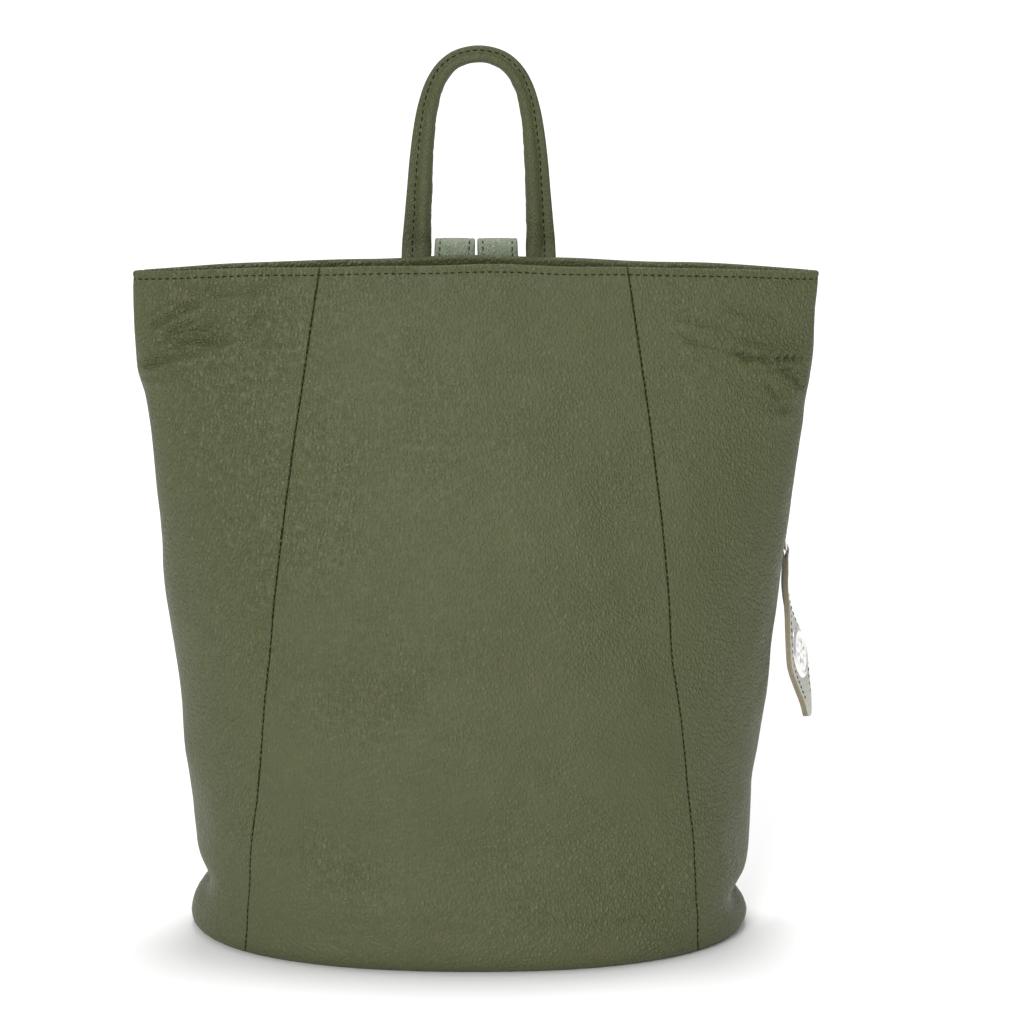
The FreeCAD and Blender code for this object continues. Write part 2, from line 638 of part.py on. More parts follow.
def make_buckle():
    """The buckle's wire frame and its prong."""
    half = RING_HALF_WIDTH
    frame = wire_frame([(-half, FRONT_BAR_Y, FRONT_BAR_Z), (half, FRONT_BAR_Y, FRONT_BAR_Z),
                        (half, LOOP_Y, HEEL_BAR_Z), (-half, LOOP_Y, HEEL_BAR_Z)], BAR_RADIUS)
    ring_half = PRONG_SLOT - 0.5
    ring = rod(PRONG_RING_OUTER, (-ring_half, LOOP_Y, HEEL_BAR_Z), (ring_half, LOOP_Y, HEEL_BAR_Z))
    start = (0, LOOP_Y + 2.0, HEEL_BAR_Z - 1.5)
    tip = (0, FRONT_BAR_Y + BAR_RADIUS + PRONG_RADIUS + PRONG_GAP, FRONT_BAR_Z - 2.0)
    shank = rod(PRONG_RADIUS, start, tip)
    prong = ring.multiFuse([shank, Part.makeSphere(PRONG_RADIUS, Vector(*tip))])
    prong = prong.cut(rod(LOOP_INNER, (-10, LOOP_Y, HEEL_BAR_Z), (10, LOOP_Y, HEEL_BAR_Z)))
    return frame, prong


def make_keeper():
    """The leather loop that holds the strap's tip."""
    half = STRAP_THICK / 2
    gap = 0.4
    y_low = LOOP_Y - half - gap
    y_high = LOOP_Y + half + 0.4 + STRAP_THICK + gap
    x = STRAP_HALF + gap
    top = KEEPER_LOW_Z + KEEPER_HEIGHT
    outer = block(-x - KEEPER_THICK, x + KEEPER_THICK, y_low - KEEPER_THICK, y_high + KEEPER_THICK,
                  KEEPER_LOW_Z, top)
    return outer.cut(block(-x, x, y_low, y_high, KEEPER_LOW_Z, top))


def make_tab(frame):
    """The triangular tab sewn to the back above the base, with an open hook for the ring."""
    hook = rod(LOOP_OUTER, (-9, LOOP_Y, 0), (9, LOOP_Y, 0))
    hook = hook.cut(rod(LOOP_INNER, (-9, LOOP_Y, 0), (9, LOOP_Y, 0)))
    hook = hook.cut(block(-9, 9, LOOP_Y - 0.5, LOOP_Y + 20, -LOOP_INNER, 20))
    stem = block(-9, 9, -FRAME_OFF - 2.0, LOOP_Y - LOOP_INNER, -LOOP_OUTER - 1.0, -LOOP_INNER - 0.4)
    piece = placed(hook.fuse(stem), frame)
    centre = frame.multVec(Vector(0, 0, -LOOP_OUTER))
    plan = [(centre.x - TAB_HALF_WIDTH, TAB_LOW_Z), (centre.x + TAB_HALF_WIDTH * 0.7, TAB_LOW_Z),
            (centre.x + 9, centre.z + 2), (centre.x - 9, centre.z + 2)]
    plate = layer(0, TAB_THICK).common(prism_xz(plan, 0, BIG))
    body = plate.fuse(piece)
    return body.cut(bag_form(0)).removeSplitter()


def make_straps():
    """Both shoulder straps, one piece of each kind on either side."""
    frame = strap_frame()
    half, height = RING_HALF_WIDTH, RING_HEIGHT
    ring = wire_frame([(-half, LOOP_Y, 0), (half, LOOP_Y, 0), (half, LOOP_Y, height),
                       (-half, LOOP_Y, height)], BAR_RADIUS)
    buckle, prong = make_buckle()
    pieces = {
        "upper_strap": make_upper_strap(frame),
        "lower_strap": placed(make_lower_strap(), frame),
        "strap_keeper": placed(make_keeper(), frame),
        "buckle_frame": placed(buckle, frame),
        "buckle_prong": placed(prong, frame),
        "strap_ring": placed(ring, frame),
        "strap_tab": make_tab(frame),
    }
    for name, shape in pieces.items():
        save(shape, "right_" + name)
        save(mirrored(shape), "left_" + name)
    return frame


def show_axis(name, frame, point, direction):
    """Print a joint's place and axis, for the record."""
    at = frame.multVec(Vector(*point))
    axis = frame.Rotation.multVec(Vector(*direction))
    print(f"AXIS {name} {at.x:.4f} {at.y:.4f} {at.z:.4f}  {axis.x:.6f} {axis.y:.6f} {axis.z:.6f}")


# ---------------------------------------------------------------- assembly
os.makedirs("parts", exist_ok=True)
make_shell()
make_top_zip()
zip_frame, tag_pivot = make_side_zip()
make_handle()
make_anchor()
strap_end = make_straps()
show_axis("side_zip", zip_frame, (SIDE_SLIDER_AT, 0, 0), (1, 0, 0))
show_axis("tag", tag_frame(tag_pivot), (0, 0, 0), (1, 0, 0))
show_axis("prong", strap_end, (0, LOOP_Y, HEEL_BAR_Z), (1, 0, 0))
show_axis("ring", strap_end, (0, LOOP_Y, RING_HEIGHT), (1, 0, 0))
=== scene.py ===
import json
import math
import bmesh
import bpy
import numpy as np
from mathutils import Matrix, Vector


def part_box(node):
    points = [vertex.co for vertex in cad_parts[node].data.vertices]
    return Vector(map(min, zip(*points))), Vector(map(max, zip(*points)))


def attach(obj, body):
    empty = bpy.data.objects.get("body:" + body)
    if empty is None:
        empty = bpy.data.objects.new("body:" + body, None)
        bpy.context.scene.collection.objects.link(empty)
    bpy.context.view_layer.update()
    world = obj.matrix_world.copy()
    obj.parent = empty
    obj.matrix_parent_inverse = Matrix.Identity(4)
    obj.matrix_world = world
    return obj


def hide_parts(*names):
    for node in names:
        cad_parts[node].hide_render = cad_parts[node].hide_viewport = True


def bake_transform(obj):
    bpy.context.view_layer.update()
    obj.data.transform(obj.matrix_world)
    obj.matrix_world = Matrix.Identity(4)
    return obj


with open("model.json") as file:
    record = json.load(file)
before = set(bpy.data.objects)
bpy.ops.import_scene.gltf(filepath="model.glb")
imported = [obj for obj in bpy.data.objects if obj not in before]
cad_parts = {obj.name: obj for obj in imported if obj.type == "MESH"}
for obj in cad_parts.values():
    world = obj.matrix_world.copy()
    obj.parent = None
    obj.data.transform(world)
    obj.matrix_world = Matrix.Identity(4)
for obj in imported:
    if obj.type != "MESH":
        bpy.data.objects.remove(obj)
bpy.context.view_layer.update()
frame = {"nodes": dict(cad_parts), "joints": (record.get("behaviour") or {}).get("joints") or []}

# Leather backpack. Lengths are in millimetres until a mesh is made, which is in metres.
# +X is to the right seen from the front, -Y is the front, +Z is up, and the base stands on z = 0.
MM = 0.001
joints = {j["name"]: j for j in frame["joints"]}

# ---------------------------------------------------------------- sizes
# The wall's outer form: height, reach to the left, reach to the right, half depth.
WALL_ROWS = np.array([
    (0.0, 146.6, 138.6, 81.2),
    (2.5, 150.2, 142.0, 84.8),
    (6.5, 152.0, 144.6, 86.6),
    (13.0, 151.6, 144.9, 87.0),
    (24.0, 150.4, 144.4, 85.6),
    (46.0, 147.8, 145.2, 82.8),
    (62.0, 148.5, 146.2, 81.0),
    (80.0, 150.5, 146.8, 80.6),
    (98.0, 153.2, 149.2, 79.6),
    (120.0, 155.3, 151.2, 78.0),
    (180.0, 161.2, 158.0, 69.5),
    (240.0, 165.6, 164.9, 53.5),
    (270.0, 169.2, 167.6, 43.5),
    (285.0, 171.6, 168.4, 38.5),
    (297.0, 174.9, 170.7, 34.4),
    (308.0, 175.6, 173.2, 30.7),
    (330.0, 176.0, 174.9, 23.0),
    (362.0, 176.0, 176.9, 13.3),
])
# The base is a little squarer than an ellipse: the power of its sines, at the floor.
BASE_POWER = 0.89
RIM_CORNER_Z = 349.0
RIM_RISE = 5.0
RIM_REACH = 176
RIM_RADIUS = 1.7
HEM_DEPTH = 12.0
LEATHER = 2.0
# How deep the facing band lies under the wall's outer face, and its thickness.
FACING_OUT = 2.15
FACING_THICK = 1.3
# The front seams: height, and how far out the left and the right one run.
FRONT_SEAM_ROWS = np.array([
    (0.0, 118.6, 116.6),
    (50.0, 114.3, 112.2),
    (95.0, 109.8, 109.0),
    (125.0, 106.9, 105.6),
    (158.0, 103.4, 100.9),
    (190.0, 100.1, 98.7),
    (245.0, 94.2, 93.7),
    (308.0, 85.0, 85.0),
    (360.0, 77.0, 77.0),
])
SEAM_SHIFT_X = -1.2
SIDE_SEAM_TOP_Y = 3.0
SIDE_SEAM_SLOPE = 0.075
SIDE_SEAM_TOP_Z = 360.0
SEAM_GROOVE = 0.9
SEAM_GROOVE_WIDTH = 0.42
SIDE_ZIP_LOW_Z = 104.0
SIDE_ZIP_HIGH_Z = 216.0
SIDE_ZIP_HALF_GAP = 5.3
STITCH_PITCH = 3.75
STITCH_LENGTH = 2.7
THREAD_RADIUS = 0.3
RIM_STITCH_DROP = 4.2
SEAM_STITCH_PITCH = 3.4
SEAM_STITCH_LENGTH = 2.1
SEAM_THREAD_RADIUS = 0.26
GRAIN_MM = 2.0


# ---------------------------------------------------------------- small maths
def smooth_rows(rows, column, z):
    """A smooth curve through the rows' values, read at heights z."""
    knots, values = rows[:, 0], rows[:, column]
    slopes = np.gradient(values, knots)
    z = np.clip(z, knots[0], knots[-1])
    i = np.clip(np.searchsorted(knots, z, side="right") - 1, 0, len(knots) - 2)
    h = knots[i + 1] - knots[i]
    t = (z - knots[i]) / h
    a, b = values[i], values[i + 1]
    return (a * (1 + 2 * t) * (1 - t) ** 2 + b * t * t * (3 - 2 * t)
            + h * t * (1 - t) * (slopes[i] * (1 - t) - slopes[i + 1] * t))


def bump_at(distance, width):
    """A smooth bell, 1 at distance 0."""
    return np.exp(-(distance / width) ** 2)


def step(value, low, high):
    """A smooth step from 0 at low to 1 at high."""
    t = np.clip((value - low) / (high - low), 0, 1)
    return t * t * (3 - 2 * t)


class Ripples:
    """Soft random undulation made of a few plane waves, about 1 high."""

    def __init__(self, length, seed, count=10):
        draw = np.random.default_rng(seed)
        way = draw.normal(size=(count, 3))
        way /= np.linalg.norm(way, axis=1)[:, None]
        self.waves = way * (2 * math.pi / length) * draw.uniform(0.6, 1.5, (count, 1))
        self.phase = draw.uniform(0, 2 * math.pi, count)
        self.count = count

    def __call__(self, points):
        return np.sin(points @ self.waves.T + self.phase).sum(-1) / math.sqrt(self.count)


# ---------------------------------------------------------------- the wall
broad = Ripples(95.0, 3)
middle = Ripples(38.0, 11)
small = Ripples(14.0, 5)

# Creases on the front, as (x, z) points, with depth and width.
CREASE_SCALE = 1.6
CREASES = [
    ([(-166, 313), (-150, 316), (-136, 318), (-122, 316)], 2.6, 5.0),
    ([(-121, 319), (-116, 324), (-112, 328), (-105, 332)], 0.9, 1.3),
    ([(-172, 318), (-160, 325), (-150, 331), (-138, 336)], 1.7, 2.0),
    ([(-170, 325), (-157, 333), (-146, 338)], 0.8, 1.6),
    ([(-175, 301), (-164, 304), (-150, 308), (-134, 311)], 2.0, 2.2),
    ([(-174, 307), (-160, 310), (-147, 313)], 1.1, 1.4),
    ([(-173, 296), (-162, 296), (-150, 299)], 0.9, 1.6),
    ([(-150, 342), (-124, 340), (-97, 343)], 0.9, 2.0),
    ([(122, 313), (138, 307), (150, 305), (173, 305)], 2.4, 1.5),
    ([(128, 309), (142, 302), (157, 300), (171, 301)], 1.0, 1.6),
    ([(97, 328), (112, 325), (128, 323)], 1.0, 1.6),
    ([(100, 321), (112, 315), (126, 311)], 1.1, 1.5),
    ([(122, 334), (140, 329), (160, 328)], 0.9, 2.6),
    ([(152, 303), (161, 296), (168, 288)], 1.5, 1.6),
    ([(143, 296), (152, 287), (158, 278)], 1.0, 1.8),
    ([(140, 286), (152, 280), (164, 279)], 0.8, 2.0),
    ([(-84, 26), (-50, 27), (-12, 31), (30, 28)], 0.5, 1.6),
    ([(14, 31), (56, 26), (80, 27), (108, 22)], 0.5, 1.5),
]
# Soft hollows and swellings: x, z, height, width across and width up. Negative is a hollow.
SWELLS = [
    (-142, 328, -2.0, 22, 10), (-150, 294, 1.8, 22, 9), (152, 318, -2.0, 26, 9),
    (150, 286, 2.0, 24, 14), (-92, 52, 2.0, 22, 16), (-128, 64, 2.2, 16, 22),
    (120, 62, 2.2, 18, 26), (-40, 300, 1.0, 40, 40), (60, 256, -1.2, 50, 60),
    (-110, 180, 1.4, 26, 60), (0, 62, -1.4, 60, 20), (70, 112, 1.5, 30, 34), (112, 200, 1.4, 22, 50),
]
# Dents where the side wall folds in over the base: side, height, depth, half width and half height.
SIDE_DENTS = [(-1, 29.5, 13.0, 32.0, 9.2), (1, 22.0, 13.0, 34.0, 7.8)]


def line_distance(x, z, points):
    """Distance from each place to a line of points, and how far along it the nearest point is."""
    fine = np.concatenate([np.linspace(points[i], points[i + 1], 7)[:-1] for i in range(len(points) - 1)]
                          + [np.array(points[-1:], float)])
    best = np.full(x.shape, 1e9)
    along = np.zeros(x.shape)
    for i, (px, pz) in enumerate(fine):
        distance = np.hypot(x - px, z - pz)
        nearer = distance < best
        best = np.where(nearer, distance, best)
        along = np.where(nearer, i / (len(fine) - 1), along)
    return best, along


def power_at(z):
    """The power of the section's sines at a height: squarer near the floor."""
    return BASE_POWER + (1 - BASE_POWER) * step(z, 10, 170)


def signed_power(value, power):
    """A power that keeps the sign."""
    return np.sign(value) * np.abs(value) ** power


def wall_base(theta, z):
    """The smooth outer form. theta 0 is to the right, and it grows towards the back."""
    reach = np.where(np.cos(theta) < 0, smooth_rows(WALL_ROWS, 1, z), smooth_rows(WALL_ROWS, 2, z))
    depth = smooth_rows(WALL_ROWS, 3, z)
    power = power_at(z)
    return np.stack([reach * signed_power(np.cos(theta), power),
                     depth * signed_power(np.sin(theta), power), z + 0 * theta], -1)


def wall_normal(theta, z):
    """The smooth form's outward direction."""
    turn = 0.004
    rise = 1.0
    across = wall_base(theta + turn, z) - wall_base(theta - turn, z)
    up = wall_base(theta, z + rise) - wall_base(theta, z - rise)
    normal = np.cross(across, up)
    return normal / np.linalg.norm(normal, axis=-1, keepdims=True)


def wall_relief(theta, z):
    """How far the real leather stands out of the smooth form."""
    base = wall_base(theta, z)
    x, y = base[..., 0], base[..., 1]
    calm = step(z, 4, 26) * (1 - 0.75 * step(z, 325, 350))
    out = 0.8 * broad(base) * calm + 0.34 * middle(base) * calm + 0.07 * small(base) * calm
    front = step(-y, 0, 8)
    for points, depth, width in CREASES:
        near = (np.abs(x - np.mean([p[0] for p in points])) < 60) & (np.abs(z - points[0][1]) < 60)
        if not near.any():
            continue
        distance, along = line_distance(x, z, points)
        fade = step(along, 0, 0.3) * (1 - step(along, 0.7, 1.0))
        mark = 0.55 * bump_at(distance - 2.2 * width, 1.3 * width) - bump_at(distance, width)
        out = out + CREASE_SCALE * depth * fade * front * mark
    for cx, cz, height, wide, tall in SWELLS:
        out = out + 1.3 * height * front * np.exp(-((x - cx) / wide) ** 2 - ((z - cz) / tall) ** 2)
    for side, cz, depth, wide, tall in SIDE_DENTS:
        facing = np.where(side * np.cos(theta) > 0, np.abs(y), 1e3)
        out = out - depth * bump_at(facing, wide) * bump_at(z - cz, tall)
        out = out + 0.1 * depth * bump_at(facing - 1.6 * wide, wide) * bump_at(z - cz, tall)
    return out


def wall(theta, z, lift=0.0):
    """A point of the leather's outer face, moved out by lift."""
    away = wall_relief(theta, z) + lift
    return wall_base(theta, z) + wall_normal(theta, z) * away[..., None]


def rim_height(theta):
    """The rim's height round the mouth."""
    x = np.cos(theta)
    back = step(np.sin(theta), 0.2, 0.9)
    hump = 1.2 * bump_at(x * RIM_REACH, 60) * back
    wave = 0.35 * np.sin(x * 9 + 1.3) + 0.25 * np.sin(x * 17 + 0.4 + 2 * back)
    return RIM_CORNER_Z + RIM_RISE * (1 - x * x) + hump + wave * (1 - x * x)


def theta_at(x, z, side):
    """The angle of a place on the front (side -1) or the back (side 1)."""
    reach = np.where(x < 0, smooth_rows(WALL_ROWS, 1, z), smooth_rows(WALL_ROWS, 2, z))
    return side * np.arccos(np.clip(signed_power(x / reach, 1 / power_at(z)), -1, 1))


def front_seam(z, side):
    """The angle of a front seam."""
    x = side * smooth_rows(FRONT_SEAM_ROWS, 1 if side < 0 else 2, z) + SEAM_SHIFT_X
    return theta_at(x, z, -1)


def side_seam(z, side):
    """The angle of a side seam, just behind the bag's widest line."""
    y = SIDE_SEAM_TOP_Y + SIDE_SEAM_SLOPE * (SIDE_SEAM_TOP_Z - z)
    lift = np.arcsin(signed_power(y / smooth_rows(WALL_ROWS, 3, z), 1 / power_at(z)))
    return lift if side > 0 else math.pi - lift


def zip_gap(z):
    """Half the opening for the side zip, as an angle."""
    theta = side_seam(z, 1)
    turn = 0.01
    speed = np.linalg.norm(wall_base(theta + turn, z) - wall_base(theta - turn, z), axis=-1) / (2 * turn)
    window = step(z, SIDE_ZIP_LOW_Z - 3, SIDE_ZIP_LOW_Z + 2) * (1 - step(z, SIDE_ZIP_HIGH_Z - 2,
                                                                      SIDE_ZIP_HIGH_Z + 3))
    return SIDE_ZIP_HALF_GAP * window / speed


# ---------------------------------------------------------------- meshes
def make_object(name, points, faces):
    """A smooth-shaded mesh object from points in millimetres, its faces turned outwards."""
    mesh = bpy.data.meshes.new(name)
    mesh.from_pydata((np.asarray(points, float) * MM).tolist(), [], [list(map(int, f)) for f in faces])
    shape = bmesh.new()
    shape.from_mesh(mesh)
    bmesh.ops.recalc_face_normals(shape, faces=shape.faces)
    shape.to_mesh(mesh)
    shape.free()
    mesh.polygons.foreach_set("use_smooth", [True] * len(mesh.polygons))
    mesh.update()
    piece = bpy.data.objects.new(name, mesh)
    bpy.context.scene.collection.objects.link(piece)
    return piece


def grid_faces(rows, cols, start=0):
    """Quads of a grid of points that is stored row by row."""
    i, j = np.meshgrid(np.arange(rows - 1), np.arange(cols - 1), indexing="ij")
    a = start + i * cols + j
    return np.stack([a, a + 1, a + cols + 1, a + cols], -1).reshape(-1, 4)


def sheet_faces(rows, cols, start=0):
    """Faces of a closed sheet made of two grids of points, stored one after the other. Edges come last."""
    count = rows * cols
    index = np.arange(count).reshape(rows, cols) + start
    faces = [grid_faces(rows, cols, start), grid_faces(rows, cols, start + count)]
    for line in (index[0], index[-1], index[:, 0], index[:, -1]):
        faces.append(np.stack([line[:-1], line[1:], line[1:] + count, line[:-1] + count], -1))
    return faces


def skin_object(name, outer, inner):
    """A closed sheet of leather from its two faces, grids of the same size."""
    points = np.concatenate([outer.reshape(-1, 3), inner.reshape(-1, 3)])
    return make_object(name, points, np.concatenate(sheet_faces(*outer.shape[:2])))


def flatten(piece):
    """Shades a piece with flat faces."""
    piece.data.polygons.foreach_set("use_smooth", [False] * len(piece.data.polygons))


def edge_faces(piece, outer):
    """Gives a skin's edge faces its second material."""
    rows, cols = outer.shape[:2]
    flat = 2 * (rows - 1) * (cols - 1)
    marks = np.zeros(len(piece.data.polygons), int)
    marks[flat:] = 1
    piece.data.polygons.foreach_set("material_index", marks)
    piece.data.polygons.foreach_set("use_smooth", (marks == 0).tolist())


def loft_object(name, rings, closed=False):
    """A closed body from a row of rings of points. closed joins the last ring to the first."""
    rings = np.asarray(rings, float)
    rows, cols = rings.shape[:2]
    faces = []
    for i in range(rows if closed else rows - 1):
        k = (i + 1) % rows
        for j in range(cols):
            l = (j + 1) % cols
            faces.append((i * cols + j, i * cols + l, k * cols + l, k * cols + j))
    points = rings.reshape(-1, 3)
    if not closed:
        ends = np.stack([rings[0].mean(0), rings[-1].mean(0)])
        first, last = len(points), len(points) + 1
        points = np.concatenate([points, ends])
        for j in range(cols):
            l = (j + 1) % cols
            faces.append((first, l, j))
            faces.append((last, (rows - 1) * cols + j, (rows - 1) * cols + l))
    return make_object(name, points, faces)


def unit(vectors):
    """Vectors of length 1."""
    return vectors / np.linalg.norm(vectors, axis=-1, keepdims=True)


def smooth_path(points, spacing):
    """A smooth curve through points, sampled at an even spacing."""
    points = np.asarray(points, float)
    padded = np.concatenate([[2 * points[0] - points[1]], points, [2 * points[-1] - points[-2]]])
    fine = []
    for i in range(1, len(padded) - 2):
        p0, p1, p2, p3 = padded[i - 1:i + 3]
        t = np.linspace(0, 1, 24, endpoint=False)[:, None]
        fine.append(0.5 * (2 * p1 + (p2 - p0) * t + (2 * p0 - 5 * p1 + 4 * p2 - p3) * t ** 2
                           + (3 * p1 - p0 - 3 * p2 + p3) * t ** 3))
    fine = np.concatenate(fine + [points[-1:]])
    return even(fine, spacing)


def even(line, spacing):
    """A line of points, sampled again at an even spacing."""
    length = np.concatenate([[0], np.cumsum(np.linalg.norm(np.diff(line, axis=0), axis=1))])
    count = max(2, int(round(length[-1] / spacing)) + 1)
    at = np.linspace(0, length[-1], count)
    return np.stack([np.interp(at, length, line[:, k]) for k in range(line.shape[1])], -1)


def tangents(line):
    """Directions along a line of points."""
    return unit(np.gradient(line, axis=0))


def stitches(name, points, along, out, material, body, length=STITCH_LENGTH, radius=THREAD_RADIUS):
    """A row of thread stitches: short rounded bars whose ends dip into the leather."""
    sides, stations = 6, np.linspace(-1, 1, 7)
    vertices, faces = [], []
    across = unit(np.cross(along, out))
    ring = np.linspace(0, 2 * math.pi, sides, endpoint=False)
    for p, t, n, b in zip(points, along, out, across):
        start = len(vertices)
        for s in stations:
            girth = radius * max(0.25, (1 - s ** 6)) ** 0.5
            centre = p + t * s * length / 2 + n * (radius * 0.75 - 1.9 * radius * abs(s) ** 3)
            for a in ring:
                vertices.append(centre + girth * (math.cos(a) * b + math.sin(a) * n))
        rows = len(stations)
        for i in range(rows - 1):
            for j in range(sides):
                l = (j + 1) % sides
                faces.append((start + i * sides + j, start + i * sides + l,
                              start + (i + 1) * sides + l, start + (i + 1) * sides + j))
        faces.append(tuple(start + j for j in reversed(range(sides))))
        faces.append(tuple(start + (rows - 1) * sides + j for j in range(sides)))
    piece = make_object(name, vertices, faces)
    dress(piece, material)
    if body:
        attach(piece, body)
    return piece


# ---------------------------------------------------------------- materials
class Nodes:
    """A short way to write a node tree."""

    def __init__(self, name):
        self.material = bpy.data.materials.new(name)
        self.material.use_nodes = True
        self.tree = self.material.node_tree
        self.shader = self.tree.nodes["Principled BSDF"]
        self.place = self.add("ShaderNodeTexCoord").outputs["Object"]

    def add(self, kind, **settings):
        node = self.tree.nodes.new(kind)
        for key, value in settings.items():
            setattr(node, key, value)
        return node

    def link(self, source, target):
        if isinstance(source, (int, float, tuple)):
            target.default_value = source
        else:
            self.tree.links.new(source, target)

    def math(self, operation, a, b=0.0, clamp=False):
        node = self.add("ShaderNodeMath", operation=operation, use_clamp=clamp)
        self.link(a, node.inputs[0])
        self.link(b, node.inputs[1])
        return node.outputs[0]

    def noise(self, scale, detail=2.0, roughness=0.5, place=None):
        node = self.add("ShaderNodeTexNoise")
        self.link(place or self.place, node.inputs["Vector"])
        node.inputs["Scale"].default_value = scale
        node.inputs["Detail"].default_value = detail
        node.inputs["Roughness"].default_value = roughness
        return node

    def ramp(self, value, low, high, start=0.0, end=1.0):
        node = self.add("ShaderNodeMapRange", interpolation_type="SMOOTHSTEP")
        self.link(value, node.inputs["Value"])
        for key, number in (("From Min", low), ("From Max", high), ("To Min", start), ("To Max", end)):
            node.inputs[key].default_value = number
        return node.outputs[0]

    def mix(self, factor, a, b, blend_type="MIX"):
        node = self.add("ShaderNodeMix", data_type="RGBA", blend_type=blend_type)
        self.link(factor, node.inputs["Factor"])
        self.link(a, node.inputs[6])
        self.link(b, node.inputs[7])
        return node.outputs[2]

    def bump(self, height, distance, strength=1.0, under=None):
        node = self.add("ShaderNodeBump")
        node.inputs["Distance"].default_value = distance
        node.inputs["Strength"].default_value = strength
        self.link(height, node.inputs["Height"])
        if under is not None:
            self.link(under, node.inputs["Normal"])
        return node.outputs[0]

    def tone(self, value, colour, dark, light, low=0.3, high=0.7):
        """The colour made uneven: darker where value is low, lighter where it is high."""
        return self.mix(self.ramp(value, low, high), shade(colour, dark), shade(colour, light))

    def paint(self, source):
        self.link(source, self.shader.inputs["Base Color"])

    def surface(self, **settings):
        """Sets plain numbers of the shader; an underscore stands for a space."""
        for key, number in settings.items():
            self.shader.inputs[key.replace("_", " ")].default_value = number

    def warped(self, amount, scale):
        """Coordinates with a little noise added."""
        wobble = self.add("ShaderNodeTexNoise")
        self.link(self.place, wobble.inputs["Vector"])
        wobble.inputs["Scale"].default_value = scale
        wobble.inputs["Detail"].default_value = 1.0
        shift = self.add("ShaderNodeVectorMath", operation="SCALE")
        self.link(wobble.outputs["Color"], shift.inputs[0])
        shift.inputs["Scale"].default_value = amount
        total = self.add("ShaderNodeVectorMath", operation="ADD")
        self.link(self.place, total.inputs[0])
        self.link(shift.outputs[0], total.inputs[1])
        return total.outputs[0]

    def cells(self, place, scale, feature):
        node = self.add("ShaderNodeTexVoronoi", feature=feature)
        self.link(place, node.inputs["Vector"])
        node.inputs["Scale"].default_value = scale
        return node


def shade(colour, factor):
    """A darker or lighter copy of a colour."""
    return tuple(min(1.0, c * factor) for c in colour[:3]) + (1.0,)


def leather(name, colour, grain=GRAIN_MM, relief=0.6, rough=0.5, sheen=0.0):
    """Pebbled leather: small soft domes, firmer in some places than in others, and a slightly uneven dye,
    with painted shade in the hollows between the domes, a painted lighter tone where the grain is firm and
    scattered brownish painted glints.
    """
    n = Nodes(name)
    scale = 1000.0 / grain
    stretch = n.add("ShaderNodeVectorMath", operation="MULTIPLY")
    n.link(n.warped(0.0005, scale * 0.3), stretch.inputs[0])
    stretch.inputs[1].default_value = (1.0, 1.0, 0.66)
    place = stretch.outputs[0]
    edge = n.cells(place, scale, "DISTANCE_TO_EDGE").outputs["Distance"]
    pebble = n.ramp(edge, 0.0, 0.34)
    fine_edge = n.cells(place, scale * 2.3, "DISTANCE_TO_EDGE").outputs["Distance"]
    fine = n.ramp(fine_edge, 0.0, 0.4)
    patch = n.noise(13.0, 2.0, 0.55).outputs["Fac"]
    side = n.add("ShaderNodeSeparateXYZ")
    n.link(n.place, side.inputs[0])
    reach = n.ramp(n.math("ABSOLUTE", side.outputs["X"]), 0.05, 0.15, -0.10, 0.10)
    firm = n.ramp(n.math("ADD", patch, reach), 0.34, 0.66, 0.45, 1.0)
    height = n.math("MULTIPLY", pebble, firm)
    height = n.math("ADD", height, n.math("MULTIPLY", fine, 0.12))
    pores = n.noise(scale * 4.0, 2.0, 0.6).outputs["Fac"]
    height = n.math("ADD", height, n.math("MULTIPLY", pores, 0.03))
    soft = n.noise(330.0, 2.0).outputs["Fac"]
    under = n.bump(soft, 0.35 * MM)
    n.link(n.bump(height, relief * MM, 1.0, under), n.shader.inputs["Normal"])
    dye = n.noise(30.0, 3.0, 0.6).outputs["Fac"]
    base = n.tone(dye, colour, 0.955, 1.045)
    # Painted light: the colour is lighter where the grain is firm, to offset the shade that the deeper bump
    # casts there.
    base = n.mix(n.ramp(firm, 0.45, 1.0), base, shade(colour, 1.1))
    # Painted shade: the colour is darkened in the hollows between the pebbles, more where the grain is firm.
    valley_painted_shade = n.math("MULTIPLY", n.ramp(edge, 0.0, 0.14, 0.30, 0.0), firm)
    base = n.mix(valley_painted_shade, base, shade(colour, 0.45))
    # Painted highlight: scattered dots of a lighter, redder colour stand in for the brownish glints on the
    # pebbles.
    warm_painted_glint = (min(1.0, colour[0] * 1.35), colour[1] * 1.05, colour[2] * 1.1, 1.0)
    painted_glint_noise = n.noise(120.0, 1.0).outputs["Fac"]
    n.paint(n.mix(n.ramp(painted_glint_noise, 0.62, 0.74, 0.0, 0.35), base, warm_painted_glint))
    n.link(n.ramp(patch, 0.3, 0.7, rough + 0.04, rough - 0.05), n.shader.inputs["Roughness"])
    n.surface(Specular_IOR_Level=0.4, Sheen_Weight=sheen, Sheen_Roughness=0.4)
    return n.material


def smooth_leather(name, colour, rough=0.55):
    """Smooth lining-side leather with fine pores and faint streaks."""
    n = Nodes(name)
    pores = n.noise(1900.0, 3.0, 0.65).outputs["Fac"]
    wrinkle = n.noise(320.0, 2.0).outputs["Fac"]
    height = n.math("ADD", pores, wrinkle)
    n.link(n.bump(height, 0.09 * MM), n.shader.inputs["Normal"])
    tone = n.noise(60.0, 3.0).outputs["Fac"]
    n.paint(n.tone(tone, colour, 0.85, 1.15))
    n.link(n.ramp(wrinkle, 0.3, 0.7, rough - 0.05, rough + 0.08), n.shader.inputs["Roughness"])
    return n.material


